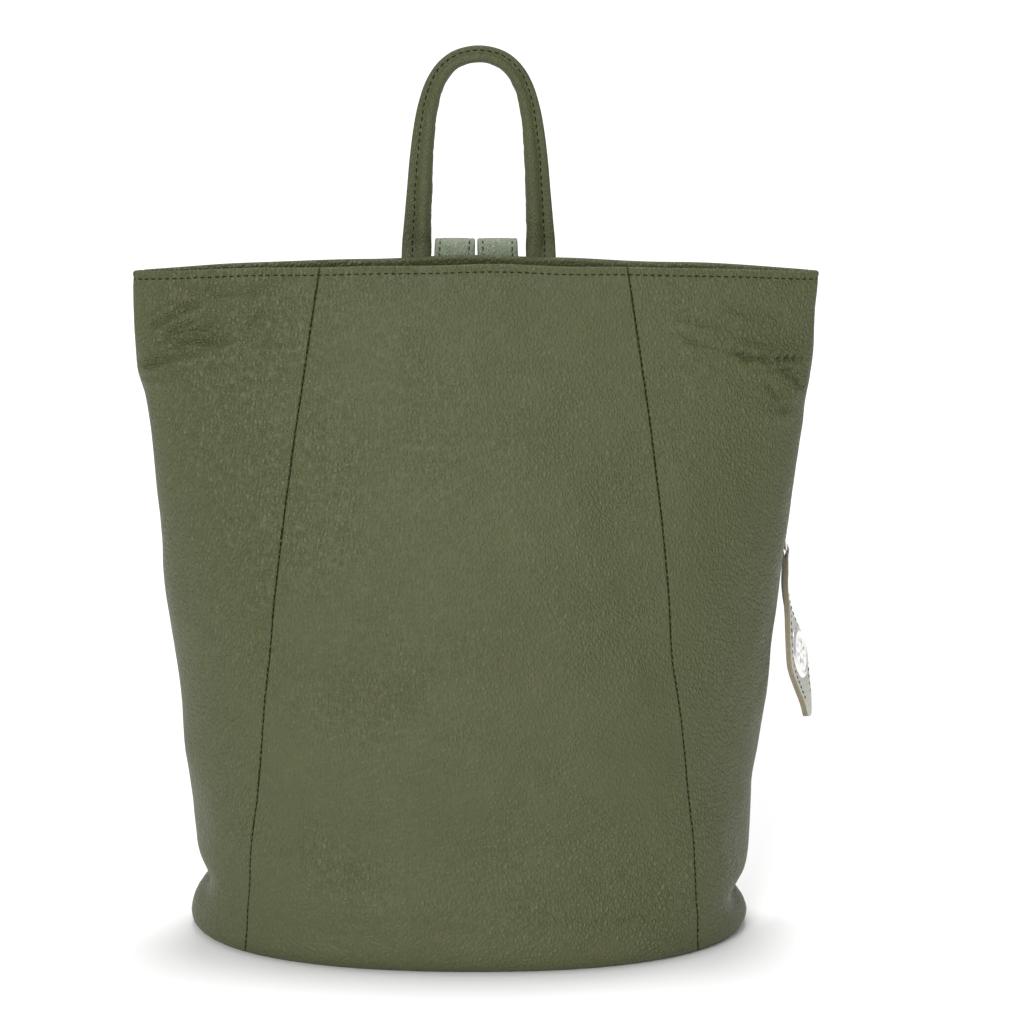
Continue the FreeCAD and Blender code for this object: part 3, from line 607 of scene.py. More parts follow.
def raw_edge(name, colour):
    """The cut edge of leather: fibres in layers."""
    n = Nodes(name)
    fibres = n.noise(1400.0, 4.0, 0.7).outputs["Fac"]
    layers = n.noise(420.0, 2.0).outputs["Fac"]
    n.link(n.bump(n.math("ADD", fibres, layers), 0.2 * MM), n.shader.inputs["Normal"])
    n.paint(n.tone(fibres, colour, 0.72, 1.2))
    n.surface(Roughness=0.85)
    return n.material


def woven(name, colour, thread_mm, relief=0.12):
    """Cloth with crossing threads."""
    n = Nodes(name)
    waves = []
    for axis in ("X", "Z"):
        wave = n.add("ShaderNodeTexWave", wave_type="BANDS", bands_direction=axis)
        n.link(n.place, wave.inputs["Vector"])
        wave.inputs["Scale"].default_value = 1000.0 / thread_mm / 6.2832 * 2.0
        wave.inputs["Distortion"].default_value = 0.4
        waves.append(wave.outputs["Fac"])
    height = n.math("MAXIMUM", waves[0], waves[1])
    n.link(n.bump(height, relief * MM), n.shader.inputs["Normal"])
    tone = n.noise(80.0, 3.0).outputs["Fac"]
    base = n.tone(tone, colour, 0.88, 1.12)
    # Painted shade: the colour is darker where the threads dip, between the crossings.
    n.paint(n.mix(n.ramp(height, 0.2, 0.9), shade(colour, 0.6), base))
    n.surface(Roughness=0.85, Sheen_Weight=0.2)
    return n.material


def metal(name, colour, rough=0.22):
    """Plated metal with faint handling marks."""
    n = Nodes(name)
    smear = n.noise(160.0, 3.0, 0.6).outputs["Fac"]
    marks = n.noise(1500.0, 2.0).outputs["Fac"]
    n.link(n.bump(marks, 0.015 * MM), n.shader.inputs["Normal"])
    n.link(n.ramp(smear, 0.3, 0.7, rough - 0.06, rough + 0.12), n.shader.inputs["Roughness"])
    n.paint(n.tone(smear, colour, 0.9, 1.05))
    n.surface(Metallic=1.0)
    return n.material


def thread(name, colour):
    """Twisted waxed thread."""
    n = Nodes(name)
    twist = n.add("ShaderNodeTexWave", wave_type="BANDS", bands_direction="DIAGONAL")
    n.link(n.place, twist.inputs["Vector"])
    twist.inputs["Scale"].default_value = 900.0
    n.link(n.bump(twist.outputs["Fac"], 0.06 * MM), n.shader.inputs["Normal"])
    # Painted shade and light: the colour is darker in the twist's grooves and lighter on its ridges,
    # following the bump.
    n.paint(n.mix(twist.outputs["Fac"], shade(colour, 0.7), shade(colour, 1.15)))
    n.surface(Roughness=0.8, Specular_IOR_Level=0.1)
    return n.material


def board_material():
    """Pressed fibre board."""
    n = Nodes("board")
    fibres = n.noise(700.0, 4.0, 0.7).outputs["Fac"]
    n.link(n.bump(fibres, 0.08 * MM), n.shader.inputs["Normal"])
    n.paint(n.mix(n.ramp(fibres, 0.3, 0.7), (0.03, 0.03, 0.028, 1), (0.06, 0.056, 0.05, 1)))
    n.surface(Roughness=0.8)
    return n.material


def dress(piece, *materials):
    """Gives a piece its materials."""
    piece.data.materials.clear()
    for material in materials:
        piece.data.materials.append(material)


GREEN = (0.063, 0.072, 0.0235)
LEATHER_SHELL = leather("leather_shell", GREEN)
LEATHER_HANDLE = leather("leather_handle", shade(GREEN, 0.9), grain=1.5, relief=0.42, rough=0.46)
# Painted light: the strap leather is made far paler than the body leather, standing in for the light that
# falls on the strap tops from above.
STRAP_LEATHER_PAINTED_LIGHT = leather("leather_strap", (0.15, 0.183, 0.12), grain=1.9, relief=0.42, rough=0.4, sheen=0.4)
LEATHER_INNER = smooth_leather("leather_inner", (0.034, 0.043, 0.018))
LEATHER_TAG = leather("leather_tag", (0.46, 0.47, 0.40), grain=1.7, relief=0.5, rough=0.4)
EDGE_PAINT = smooth_leather("edge_paint", shade(GREEN, 0.55))
RAW_EDGE = raw_edge("raw_edge", (0.235, 0.205, 0.135))
LINING = woven("lining_cloth", (0.115, 0.105, 0.07), 0.8)
TAPE = woven("zip_tape_cloth", (0.032, 0.038, 0.02), 0.5)
ZIP_METAL = metal("zip_metal", (0.72, 0.72, 0.70), 0.25)
BUCKLE_METAL = metal("buckle_metal", (0.74, 0.74, 0.72), 0.18)
DISC_METAL = metal("disc_metal", (0.86, 0.86, 0.84), 0.32)
# Dark green thread, made darker still: painted shade that stands in for the shaded stitch holes.
THREAD = thread("thread", (0.012, 0.016, 0.007))
BOARD = board_material()


# ---------------------------------------------------------------- the shell's panels
# Distances of a panel's columns from its seams, where they lie closer together.
BESIDE_SEAM = np.array([0.0, 0.3, 0.6, 1.0, 1.5, 2.2, 3.2])
COLUMN_PITCH = 2.3


def column_spread(length):
    """Distances along a row from seam to seam, closer together beside the seams."""
    band = BESIDE_SEAM[-1]
    inner = np.linspace(band, length - band, max(4, int(length / COLUMN_PITCH)))[1:-1]
    return np.concatenate([BESIDE_SEAM, inner, length - BESIDE_SEAM[::-1]])


def panel_thetas(start_of, end_of, heights):
    """Angles of a panel's grid: one row for each height, from one seam to the other."""
    rows = []
    spread = None
    for z in heights:
        a, b = float(start_of(z)), float(end_of(z))
        fine = np.linspace(a, b, 500)
        line = wall_base(fine, np.full(500, z))
        length = np.concatenate([[0], np.cumsum(np.linalg.norm(np.diff(line, axis=0), axis=1))])
        if spread is None:
            spread = column_spread(230.0 if length[-1] > 180 else 110.0)
        full = spread[-1]
        band = BESIDE_SEAM[-1]
        at = np.where(spread <= band, spread, np.where(
            spread >= full - band, spread - full + length[-1],
            band + (spread - band) / (full - 2 * band) * (length[-1] - 2 * band)))
        rows.append(np.interp(at, length, fine))
    return np.array(rows), spread


def panel(name, start_of, end_of, nodes):
    """One leather panel: turned under the base, up the wall, rolled over the rim and down inside."""
    wall_rows = np.linspace(0, 1, 172)
    heights = wall_rows * (RIM_CORNER_Z + RIM_RISE * 0.6)
    thetas, spread = panel_thetas(start_of, end_of, heights)
    top = rim_height(thetas[-1])
    seam = np.minimum(spread, spread[-1] - spread)
    groove = SEAM_GROOVE * bump_at(seam, SEAM_GROOVE_WIDTH)
    straight_top = top - RIM_RADIUS
    z = wall_rows[:, None] * straight_top[None, :]
    hem = 0.4 * bump_at(top[None, :] - RIM_STITCH_DROP - z, 0.9)
    outer = wall(thetas, z, -groove[None, :] - hem)
    inner = wall(thetas, z, -LEATHER * (1 - 0.35 * step(z, 325, 345)))

    last = thetas[-1]
    normal = wall_normal(last, straight_top)
    up = np.array([0.0, 0.0, 1.0])
    edge = wall(last, straight_top, -groove)
    roll_out, roll_in = [], []
    for angle in np.radians([25, 50, 75, 100, 125, 150, 180]):
        reach = RIM_RADIUS * (math.cos(angle) - 1)
        lift = RIM_RADIUS * math.sin(angle)
        roll_out.append(edge + normal * reach + up * lift)
        roll_in.append(edge - normal * RIM_RADIUS + up * 0.25 * lift)
    for drop in (2.5, 5.0, 8.0, HEM_DEPTH):
        at = straight_top - drop
        roll_out.append(wall(last, at, -2 * RIM_RADIUS))
        roll_in.append(wall(last, at, -RIM_RADIUS - 0.35))

    under_out, under_in = [], []
    first = thetas[0]
    for lift, z_low in ((-9.0, 1.0), (-5.0, 0.15), (-2.0, 0.0)):
        flat = wall(first, np.zeros_like(first), lift)
        flat[:, 2] = z_low
        under_out.append(flat)
        over = wall(first, np.zeros_like(first), lift - 0.3)
        over[:, 2] = z_low + 1.4
        under_in.append(over)
    outer = np.concatenate([np.array(under_out), outer, np.array(roll_out)])
    inner = np.concatenate([np.array(under_in), inner, np.array(roll_in)])
    outer[..., 2] = np.maximum(outer[..., 2], 0.0)
    piece = skin_object(name, outer, inner)
    dress(piece, LEATHER_SHELL)
    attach(piece, "bag")
    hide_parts(*nodes)
    return piece


def facing(name, start, end, node):
    """The leather band inside the mouth, below the turned hem."""
    thetas = np.linspace(start, end, 150)[None, :] + np.zeros((9, 1))
    low = float(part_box(node)[0].z) / MM
    high = rim_height(thetas[0]) - RIM_RADIUS - HEM_DEPTH + 1.0
    z = low + (high - low) * np.linspace(0, 1, 9)[:, None]
    outer = wall(thetas, z, -FACING_OUT)
    inner = wall(thetas, z, -FACING_OUT - FACING_THICK)
    piece = skin_object(name, inner[:, ::-1], outer[:, ::-1])
    dress(piece, LEATHER_INNER)
    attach(piece, "bag")
    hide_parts(node)


def make_shell():
    """The four panels, their stitches and the facings."""
    panel("front_panel_leather", lambda z: front_seam(z, -1), lambda z: front_seam(z, 1), ["front_panel"])
    panel("right_side_leather", lambda z: front_seam(z, 1),
          lambda z: side_seam(z, 1) - zip_gap(z), ["right_side_panel"])
    panel("back_panel_leather", lambda z: side_seam(z, 1) + zip_gap(z),
          lambda z: side_seam(z, -1), ["back_panel"])
    panel("left_side_leather", lambda z: side_seam(z, -1) - 2 * math.pi, lambda z: front_seam(z, -1),
          ["left_side_panel"])
    top_z = np.array(345.0)
    right, left = float(side_seam(top_z, 1)), float(side_seam(top_z, -1))
    facing("front_facing_band", left - 2 * math.pi, right, "front_facing")
    facing("back_facing_band", right, left, "back_facing")
    rim_stitches()
    for side, label in ((-1, "left"), (1, "right")):
        z = np.linspace(3.0, 345.0, 700)
        line = wall(front_seam(z, side), z, -0.5)
        spaced = even(line, SEAM_STITCH_PITCH)
        points = (spaced[1:] + spaced[:-1]) / 2
        out = wall_normal(front_seam(points[:, 2], side), points[:, 2])
        stitches("front_seam_stitches_" + label, points, unit(spaced[1:] - spaced[:-1]), out, THREAD,
                 "bag", SEAM_STITCH_LENGTH, SEAM_THREAD_RADIUS)


def rim_stitches():
    """The hem's row of stitches, all round the mouth."""
    theta = np.linspace(-math.pi, math.pi, 4000)
    z = rim_height(theta) - RIM_STITCH_DROP
    spaced = even(wall(theta, z, -0.28), STITCH_PITCH)
    x, y, height = ((spaced[:-1] + spaced[1:]) / 2).T
    angle = np.arctan2(y / smooth_rows(WALL_ROWS, 3, height), x / smooth_rows(WALL_ROWS, 2, height))
    stitches("rim_stitches", np.stack([x, y, height], -1), unit(spaced[1:] - spaced[:-1]),
             wall_normal(angle, height), THREAD, "bag")


make_shell()

# ---------------------------------------------------------------- handle
HANDLE_Y = joints["handle_fold"]["pos_m"][1] / MM
HANDLE_SHIFT_X = 1.3
HANDLE_FOOT_Z = 322.0
# The roll's centre line on the right side: distance from the middle and height.
HANDLE_LINE = [(28.9, 362.0), (28.5, 374.0), (27.9, 387.0), (27.1, 403.0), (25.7, 419.0), (24.1, 430.0),
               (21.4, 440.0), (16.8, 448.2), (9.9, 453.7), (0.0, 455.8)]
# The roll's radius, and the fin's outer edge from the roll's centre, by height.
HANDLE_SIZES = np.array([(322.0, 4.4, 11.0), (358.0, 4.5, 11.0), (372.0, 4.2, 10.1), (386.0, 4.0, 9.4),
                         (403.0, 3.7, 8.7), (419.0, 3.4, 8.0), (440.0, 3.1, 6.8), (457.0, 2.8, 6.0)])
# How far past the roll the row of stitches lies.
STITCH_REACH = 0.9
# The roll is round above this height, and flattened to this share of its thickness where it is sewn.
HANDLE_FREE_Z = 366
SEWN_SHARE = 0.36
# The cord's radius as a share of the roll's.
CORD_SHARE = 0.68
BACKWARD = np.array([0.0, 1.0, 0.0])


def handle_path():
    """The roll's centre line: up one leg, round the arch, down the other."""
    right = np.array([(x, HANDLE_Y, z) for x, z in reversed(HANDLE_LINE)])
    arch = smooth_path(np.concatenate([right[:0:-1] * np.array([-1, 1, 1]), right]), 1.0)
    leg_z = np.linspace(HANDLE_FOOT_Z, HANDLE_LINE[0][1], 40)[:-1]
    reach = HANDLE_LINE[0][0]
    sewn = wall(theta_at(0 * leg_z + reach, leg_z, 1), leg_z, 0 * leg_z + 2.1)[:, 1]
    free = step(leg_z, 345, 362)
    left = np.stack([0 * leg_z - reach, sewn * (1 - free) + HANDLE_Y * free, leg_z], -1)
    return even(np.concatenate([left, arch, left[::-1] * np.array([-1, 1, 1])]), 1.3)


def blend_handle(piece):
    """Bakes the piece's transform into its mesh; the bend at the handle's feet is already in its path."""
    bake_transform(piece)


def make_handle():
    """A rolled sleeve with a stitched fin on its outer side. It flattens where it is sewn to the back."""
    line = handle_path()
    along = tangents(line)
    out = unit(np.cross(BACKWARD, along))
    outward = line - np.array([0, HANDLE_Y, 380.0])
    out = np.where((out * outward).sum(-1, keepdims=True) < 0, -out, out)
    height = line[:, 2]
    free = SEWN_SHARE + (1 - SEWN_SHARE) * step(height, 346, HANDLE_FREE_Z)
    wrinkle = Ripples(7.0, 21)(line) * 0.15 + Ripples(3.2, 22)(line) * 0.05
    radius = smooth_rows(HANDLE_SIZES, 1, height) + wrinkle
    fin = smooth_rows(HANDLE_SIZES, 2, height)
    rings = []
    for p, n, r, f, thin, w in zip(line, out, radius, fin, free, wrinkle):
        ring = []
        half = 1.5 + 0.1 * w
        for a in np.radians(np.linspace(44, 316, 25)):
            ring.append(p + n * r * 0.98 * math.cos(a) + BACKWARD * r * thin * math.sin(a))
        profile = [(r * 0.92, r * thin * 0.5), (r + 0.2, max(r * thin * 0.36, half)),
                   (r + STITCH_REACH, half * 0.8), (r + 1.7, half), (f - 1.0, half), (f - 0.3, half * 0.8),
                   (f, half * 0.35)]
        for o, b in profile + [(o, -b) for o, b in reversed(profile)]:
            ring.append(p + n * o - BACKWARD * b)
        rings.append(ring)
    rings = np.array(rings)
    rings[..., 0] += HANDLE_SHIFT_X
    piece = loft_object("handle_leather", rings)
    dress(piece, LEATHER_HANDLE)
    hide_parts("handle_sleeve")
    blend_handle(piece)
    turn = np.linspace(0, 2 * math.pi, 14, endpoint=False)
    free_line = height > HANDLE_FREE_Z
    core = (line[free_line, None] + CORD_SHARE * radius[free_line, None, None]
            * (out[free_line, None] * np.cos(turn)[None, :, None] + BACKWARD * np.sin(turn)[None, :, None]))
    core[..., 0] += HANDLE_SHIFT_X
    cord = loft_object("handle_cord", core)
    dress(cord, LINING)
    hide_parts("handle_core")
    blend_handle(cord)
    for side, name in ((-1, "front"), (1, "back")):
        row = line + out * (radius + STITCH_REACH)[:, None] + BACKWARD * side * 1.22
        row = row[row[:, 2] > 348]
        row[:, 0] += HANDLE_SHIFT_X
        row = even(row, STITCH_PITCH)
        points = (row[1:] + row[:-1]) / 2
        face = np.tile(BACKWARD * side, (len(points), 1))
        piece = stitches("handle_stitches_" + name, points, unit(row[1:] - row[:-1]), face, THREAD, None)
        blend_handle(piece)


make_handle()


# ---------------------------------------------------------------- the strap's lower end
def strap_axes():
    """Axes of the right strap's lower end: origin, across, out and up, from its two small joints."""
    ring = np.array(joints["right_ring_swing"]["pos_m"]) / MM
    heel = np.array(joints["right_prong_swing"]["pos_m"]) / MM
    across = unit(np.array(joints["right_ring_swing"]["axis"], float))
    up = unit(heel - ring)
    out = np.cross(up, across)
    return ring - up * RING_HEIGHT - out * BAR_Y, across, out, up


STRAP_WIDTH = 21.0
STRAP_THICK = 2.4
RING_HEIGHT = 10.2
BAR_Y = 3.6
HEEL_BAR_Z = 63.0
STRAP_HOLES_Z = (27, 36, 91)
LOWER_SLOT_Z = 46
# The keeper: its height, and its loop's half width, inner side, outer side and corner radius.
KEEPER_Z = 78.5
KEEPER_LOOP = (10.9, 1.35, 8.75, 1.6)
FOLD_RADIUS = 2.7
ORIGIN, ACROSS, OUT, UP = strap_axes()


def local(y, z, x=0.0):
    """A point in the right strap's frame: x across it, y out of the back, z up along it."""
    return ORIGIN + ACROSS * x + OUT * y + UP * z


def ribbon(name, line, side, width, thick, material, groove=True, closed=False):
    """A leather strip along a line. side is the direction across it. The outer face has two sunk seams."""
    line = np.asarray(line, float)
    along = tangents(line)
    if closed:
        along = unit(np.roll(line, -1, 0) - np.roll(line, 1, 0))
    side = unit(side - along * (side * along).sum(-1, keepdims=True))
    out = np.cross(side, along)
    half = width / 2
    inset = np.array([0.5, 1.0, 2.0, 2.5, 2.9, 3.3, 3.8, 5.0, 7.5])
    if half < 8:
        inset = np.array([0.4, 0.9, 1.5, 2.2])
    across = np.concatenate([-half + inset, [0.0], (half - inset)[::-1]])
    dip = 0.4 * bump_at(np.abs(across) - half + 2.9, 0.4) * groove
    crown = 0.2 * (1 - (across / half) ** 2)
    top = thick / 2 + crown - dip - 0.25 * bump_at(np.abs(across) - half, 0.6)
    shape = [(x, y) for x, y in zip(across, top)]
    shape += [(half - 0.12, thick * 0.28), (half, 0.0), (half - 0.12, -thick * 0.28)]
    shape += [(x, -thick / 2) for x in (half - 0.6, half / 2, 0.0, -half / 2, 0.6 - half)]
    shape += [(0.12 - half, -thick * 0.28), (-half, 0.0), (0.12 - half, thick * 0.28)]
    shape = np.array(shape)
    rings = (line[:, None] + side[:, None] * shape[None, :, 0, None]
             + out[:, None] * shape[None, :, 1, None])
    piece = loft_object(name, rings, closed)
    dress(piece, material)
    return piece, side, out


def cut_away(piece, cutters):
    """Cuts holes in a piece with other meshes."""
    for cutter in cutters:
        modifier = piece.modifiers.new("cut", "BOOLEAN")
        modifier.operation = "DIFFERENCE"
        modifier.solver = "EXACT"
        modifier.object = cutter
    bpy.context.view_layer.update()
    shown = piece.evaluated_get(bpy.context.evaluated_depsgraph_get())
    mesh = bpy.data.meshes.new_from_object(shown)
    piece.modifiers.clear()
    piece.data = mesh
    for cutter in cutters:
        bpy.data.objects.remove(cutter)


def prism(points, direction):
    """A closed prism: a loop of points pushed both ways along a direction."""
    points = np.asarray(points, float)
    return loft_object("cutter", [points - direction, points + direction])


def round_hole(z, mirror, radius=1.6):
    """A cutter for a strap hole."""
    turn = np.linspace(0, 2 * math.pi, 20, endpoint=False)
    ring = [local(5.0, z + radius * math.sin(a), radius * math.cos(a)) * mirror for a in turn]
    return prism(ring, OUT * mirror * 12)


def slot_cutter(low, high, mirror):
    """A cutter for the prong's slot."""
    corners = [(-2.3, low), (2.3, low), (2.3, high), (-2.3, high)]
    return prism([local(4.0, z, x) * mirror for x, z in corners], OUT * mirror * 14)


def edge_rows(name, line, side, out, thick, body, low, high, bend=None, inset=2.9):
    """A strap's two rows of stitches. bend, if given, is called with each row."""
    for sign, label in ((-1, "a"), (1, "b")):
        row = line + side * sign * (STRAP_WIDTH / 2 - inset) + out * (thick / 2 - 0.15)
        sewn = slice(int(low * (len(row) - 1)), int(high * (len(row) - 1)) + 1)
        piece = sew(name + "_" + label, row[sewn], out[sewn], body)
        if bend:
            bend(piece)


def sew(name, line, normals, body):
    """A row of stitches along a line on a surface with the given normals."""
    spaced = even_rows(np.concatenate([line, normals], 1))
    return stitches(name, (spaced[1:, :3] + spaced[:-1, :3]) / 2, unit(spaced[1:, :3] - spaced[:-1, :3]),
                    unit(spaced[1:, 3:]), THREAD, body)


def even_rows(joined):
    """Points with their normals, sampled again one stitch apart."""
    line = joined[:, :3]
    length = np.concatenate([[0], np.cumsum(np.linalg.norm(np.diff(line, axis=0), axis=1))])
    at = np.linspace(0, length[-1], max(2, int(round(length[-1] / STITCH_PITCH)) + 1))
    return np.stack([np.interp(at, length, joined[:, k]) for k in range(6)], -1)


def on_back(x, z, lift):
    """Points on the back of the bag, for arrays of x and z."""
    return wall(theta_at(x, z, 1), z, lift)


def back_at(x, z, lift):
    """One point on the back of the bag."""
    return on_back(np.array(float(x)), np.array(float(z)), lift)


def fold_points(bar_z):
    """Points round a bar, from its outer side, below it, to its inner side."""
    return [local(BAR_Y + FOLD_RADIUS * math.cos(a), bar_z - FOLD_RADIUS * math.sin(a))
            for a in np.radians([0, 36, 72, 108, 144, 180])]


def upper_strap_line():
    """The right upper strap's centre line, from under the patch to its fold round the buckle."""
    points = [back_at(11.5, 322, 1.4), back_at(11.5, 334, 1.6), back_at(11.5, 344, 2.4),
              (11.4, 21.3, 351.5), (11.2, 22.6, 357.6), (11.0, 26.6, 361.3), (11.0, 31.0, 358.9),
              (11.2, 33.2, 352.5), (12.2, 35.4, 338.0), (14.6, 38.8, 319.0)]
    points.append(back_at(20.5, 298, 8.2))
    for x, z in ((28.0, 275), (36.0, 250), (44.5, 225), (53.0, 200), (60.5, 178)):
        points.append(back_at(x, z, 8.0))
    points += [local(BAR_Y, 116), local(BAR_Y, 100), local(BAR_Y, 86), local(BAR_Y + 0.3, 75),
               local(BAR_Y + 1.6, 68)]
    points += fold_points(HEEL_BAR_Z)
    points += [local(1.0, 67), local(1.15, 72)]
    return smooth_path(np.array([np.array(p, float) for p in points]), 2.0)


def lower_strap_line():
    """The right lower strap's centre line, from its end behind the ring, round it and up to the tip."""
    points = [local(1.45, 25), local(1.2, 19), local(1.0, 14)]
    points += fold_points(RING_HEIGHT)[::-1]
    points += [local(y, z) for y, z in ((5.5, 15), (4.4, 20), (3.9, 26), (3.6, 34), (3.6, 45), (4.6, 50),
                                        (7.4, 56.5), (8.8, 63), (8.1, 69), (6.6, 75), (6.3, 88), (6.3, 100))]
    return smooth_path(np.array(points), 1.6)


def strap_blend():
    """Gives a step that bakes a piece's transform into its mesh; the strap's bend where it comes out of the
    patch, over its arc, is already in its line.
    """
    def apply(piece):
        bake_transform(piece)
    return apply


def make_strap(name, mirror):
    """One shoulder strap: upper part, lower part and keeper, with stitches."""
    turn = 1.0 if mirror[0] > 0 else -1.0
    body = name + "_strap"
    line = upper_strap_line()
    share = step(line[:, 2], 160, 320)[:, None]
    across = unit(ACROSS * (1 - share) + np.array([1.0, 0.0, 0.0]) * share)
    line, across = line * mirror, across * mirror * turn
    wobble = 0.25 * Ripples(60.0, 31)(line)[:, None] * BACKWARD
    piece, side, out = ribbon(body + "_upper", line + wobble, across, STRAP_WIDTH, STRAP_THICK, STRAP_LEATHER_PAINTED_LIGHT)
    cut_away(piece, [slot_cutter(HEEL_BAR_Z - 9, HEEL_BAR_Z + 7, mirror)])
    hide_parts(name + "_upper_strap")
    strap_blend()(piece)
    edge_rows(body + "_stitches", line + wobble, side, out, STRAP_THICK, None, 0.05, 0.93, strap_blend())

    line = lower_strap_line() * mirror
    across = np.tile(ACROSS * mirror * turn, (len(line), 1))
    piece, side, out = ribbon(body + "_lower", line, -across, STRAP_WIDTH - 1, STRAP_THICK, STRAP_LEATHER_PAINTED_LIGHT)
    holes = [round_hole(z, mirror) for z in STRAP_HOLES_Z]
    cut_away(piece, holes + [slot_cutter(LOWER_SLOT_Z, HEEL_BAR_Z + 4.5, mirror)])
    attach(piece, body)
    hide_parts(name + "_lower_strap")
    edge_rows(body + "_lower_stitches", line, side, out, STRAP_THICK, body, 0.28, 0.97, None, 3.4)

    half, low, high, corner = KEEPER_LOOP
    loop = []
    for cx, cy, start in ((half, high, 0), (-half, high, 90), (-half, low, 180), (half, low, 270)):
        for a in np.radians(np.linspace(start, start + 90, 5)):
            loop.append((cx - math.copysign(corner, cx) + corner * math.cos(a),
                         cy - math.copysign(corner, cy - 5) + corner * math.sin(a)))
    loop.append(loop[0])
    ring = even(np.array([local(y, KEEPER_Z, x) for x, y in loop]), 1.0)[:-1] * mirror
    up = np.tile(UP * mirror * turn, (len(ring), 1))
    piece, side, out = ribbon(body + "_keeper", ring, up, 9.0, 1.4, STRAP_LEATHER_PAINTED_LIGHT, False, True)
    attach(piece, body)
    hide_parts(name + "_strap_keeper")


for strap_name, strap_side in (("right", 1.0), ("left", -1.0)):
    make_strap(strap_name, np.array([strap_side, 1.0, 1.0]))


# ---------------------------------------------------------------- anchor patch and tails
PATCH_LOW_Z = 300.0
PATCH_HIGH_Z = 344.0
PATCH_HALF = 48.0
PATCH_INSET = 3.0


def make_anchor():
    """The flat tails of handle and straps, and the patch over them with its stitches."""
    points, faces = [], []
    rows, cols = 14, 8
    for low, high in ((-39, -24), (-22, -1), (1, 22), (24, 39)):
        x, z = np.meshgrid(np.linspace(low, high, cols), np.linspace(306, 341, rows))
        for lift in (0.2, 1.9):
            points.append(on_back(x, z, lift).reshape(-1, 3))
    points = np.concatenate(points)
    for start in range(0, len(points), 2 * rows * cols):
        faces += sheet_faces(rows, cols, start)
    tails = make_object("sewn_tails", points, np.concatenate(faces))
    dress(tails, STRAP_LEATHER_PAINTED_LIGHT)
    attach(tails, "bag")
    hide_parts("strap_tails", "handle_tails")

    x, z = np.meshgrid(np.linspace(-PATCH_HALF, PATCH_HALF, 130),
                       np.linspace(PATCH_LOW_Z, PATCH_HIGH_Z, 60))
    inner, outer = patch_lift(x, z)
    outer_grid = on_back(x, z, outer)
    patch = skin_object("anchor_patch_leather", outer_grid, on_back(x, z, inner))
    dress(patch, LEATHER_SHELL, EDGE_PAINT)
    edge_faces(patch, outer_grid)
    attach(patch, "bag")
    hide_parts("anchor_patch")

    reach, low, high = PATCH_HALF - PATCH_INSET, PATCH_LOW_Z + PATCH_INSET, PATCH_HIGH_Z - PATCH_INSET
    rows = [[(-reach, high), (reach, high), (reach, low), (-reach, low), (-reach, high)]]
    for x_low, x_high in ((-38, -3), (3, 38)):
        rows.append([(x_low, 338), (x_high, 338), (x_high, 308), (x_low, 308), (x_low, 338)])
        rows.append([(x_low, 308), (x_high, 338)])
        rows.append([(x_low, 338), (x_high, 308)])
    for i, row in enumerate(rows):
        flat = even(np.array(row, float), 1.0)
        lift = patch_lift(flat[:, 0], flat[:, 1])[1] - 0.12
        line = on_back(flat[:, 0], flat[:, 1], lift)
        normal = unit(on_back(flat[:, 0], flat[:, 1], lift + 1) - line)
        sew(f"patch_stitches_{i}", line, normal, "bag")


def patch_lift(x, z):
    """How far the patch's two faces stand off the back: it lies over the tails and is sewn down."""
    over_tails = 1 - step(np.abs(x), 39.5, 43)
    above = step(z, 303, 308)
    feet = bump_at(np.abs(x) - 30.5, 7.0) * step(z, 318, 330)
    gap = 1 - 0.25 * bump_at(x, 1.2)
    inner = 0.25 + 1.95 * over_tails * above * gap + 1.7 * feet
    rows = (PATCH_HALF - PATCH_INSET - np.abs(x), z - PATCH_LOW_Z - PATCH_INSET,
            PATCH_HIGH_Z - PATCH_INSET - z)
    pressed = sum(0.35 * bump_at(distance, 0.8) for distance in rows)
    return inner, inner + 1.75 - pressed


make_anchor()


# ---------------------------------------------------------------- tag
TAG_AT = np.array(joints["tag_swing"]["pos_m"]) / MM
TAG_ACROSS = unit(np.array(joints["tag_swing"]["axis"], float))
TAG_TILT = math.radians(5.5)
TAG_TOP_DROP = 8.3
TAG_LENGTH = 92.5
TAG_LAYER = 1.65
DISC_RADIUS = 13.5
# How far below the tag's top the disc and the rivet sit, and the reach of the fold round the ring.
TAG_DISC_AT = 57.6
RIVET_AT = 13.0
FOLD_REACH = 2.15
# The tag's half width at distances below its top.
TAG_OUTLINE = np.array([(-3.0, 3.2), (2.0, 3.3), (6.0, 4.3), (30.0, 10.6), (50.0, 15.8), (56.0, 17.0),
                        (60.0, 17.5), (64.0, 16.6), (70.0, 13.8), (84.0, 7.0), (88.0, 5.3), (91.0, 4.0),
                        (92.1, 2.8), (92.5, 1.0)])
# How far the middle of the tag stands out of its flat plane, at distances below its top.
TAG_BEND = np.array([(-3.0, 0.0), (8.0, -0.7), (22.0, -1.9), (36.0, -1.0), (50.0, 0.6), (61.0, 1.8),
                     (72.0, 3.2), (83.0, 4.5), (93.0, 5.0)])


def tag_axes():
    """The tag's out and up directions."""
    flat_out = np.array([-TAG_ACROSS[1], TAG_ACROSS[0], 0.0])
    up = np.array([0.0, 0.0, math.cos(TAG_TILT)]) - flat_out * math.sin(TAG_TILT)
    return np.cross(up, TAG_ACROSS), up


TAG_OUT, TAG_UP = tag_axes()


def tag_half_width(s):
    """Half the tag's width at a distance below its top."""
    return np.interp(s, TAG_OUTLINE[:, 0], TAG_OUTLINE[:, 1])


def tag_curl(s, t):
    """How far the leather stands out of its flat plane: it twists a little and its tip curls up."""
    twist = np.tan(np.radians(3.0 + 15.5 * step(s, 22, 60)))
    return smooth_rows(TAG_BEND, 1, s) - twist * t * tag_half_width(s)


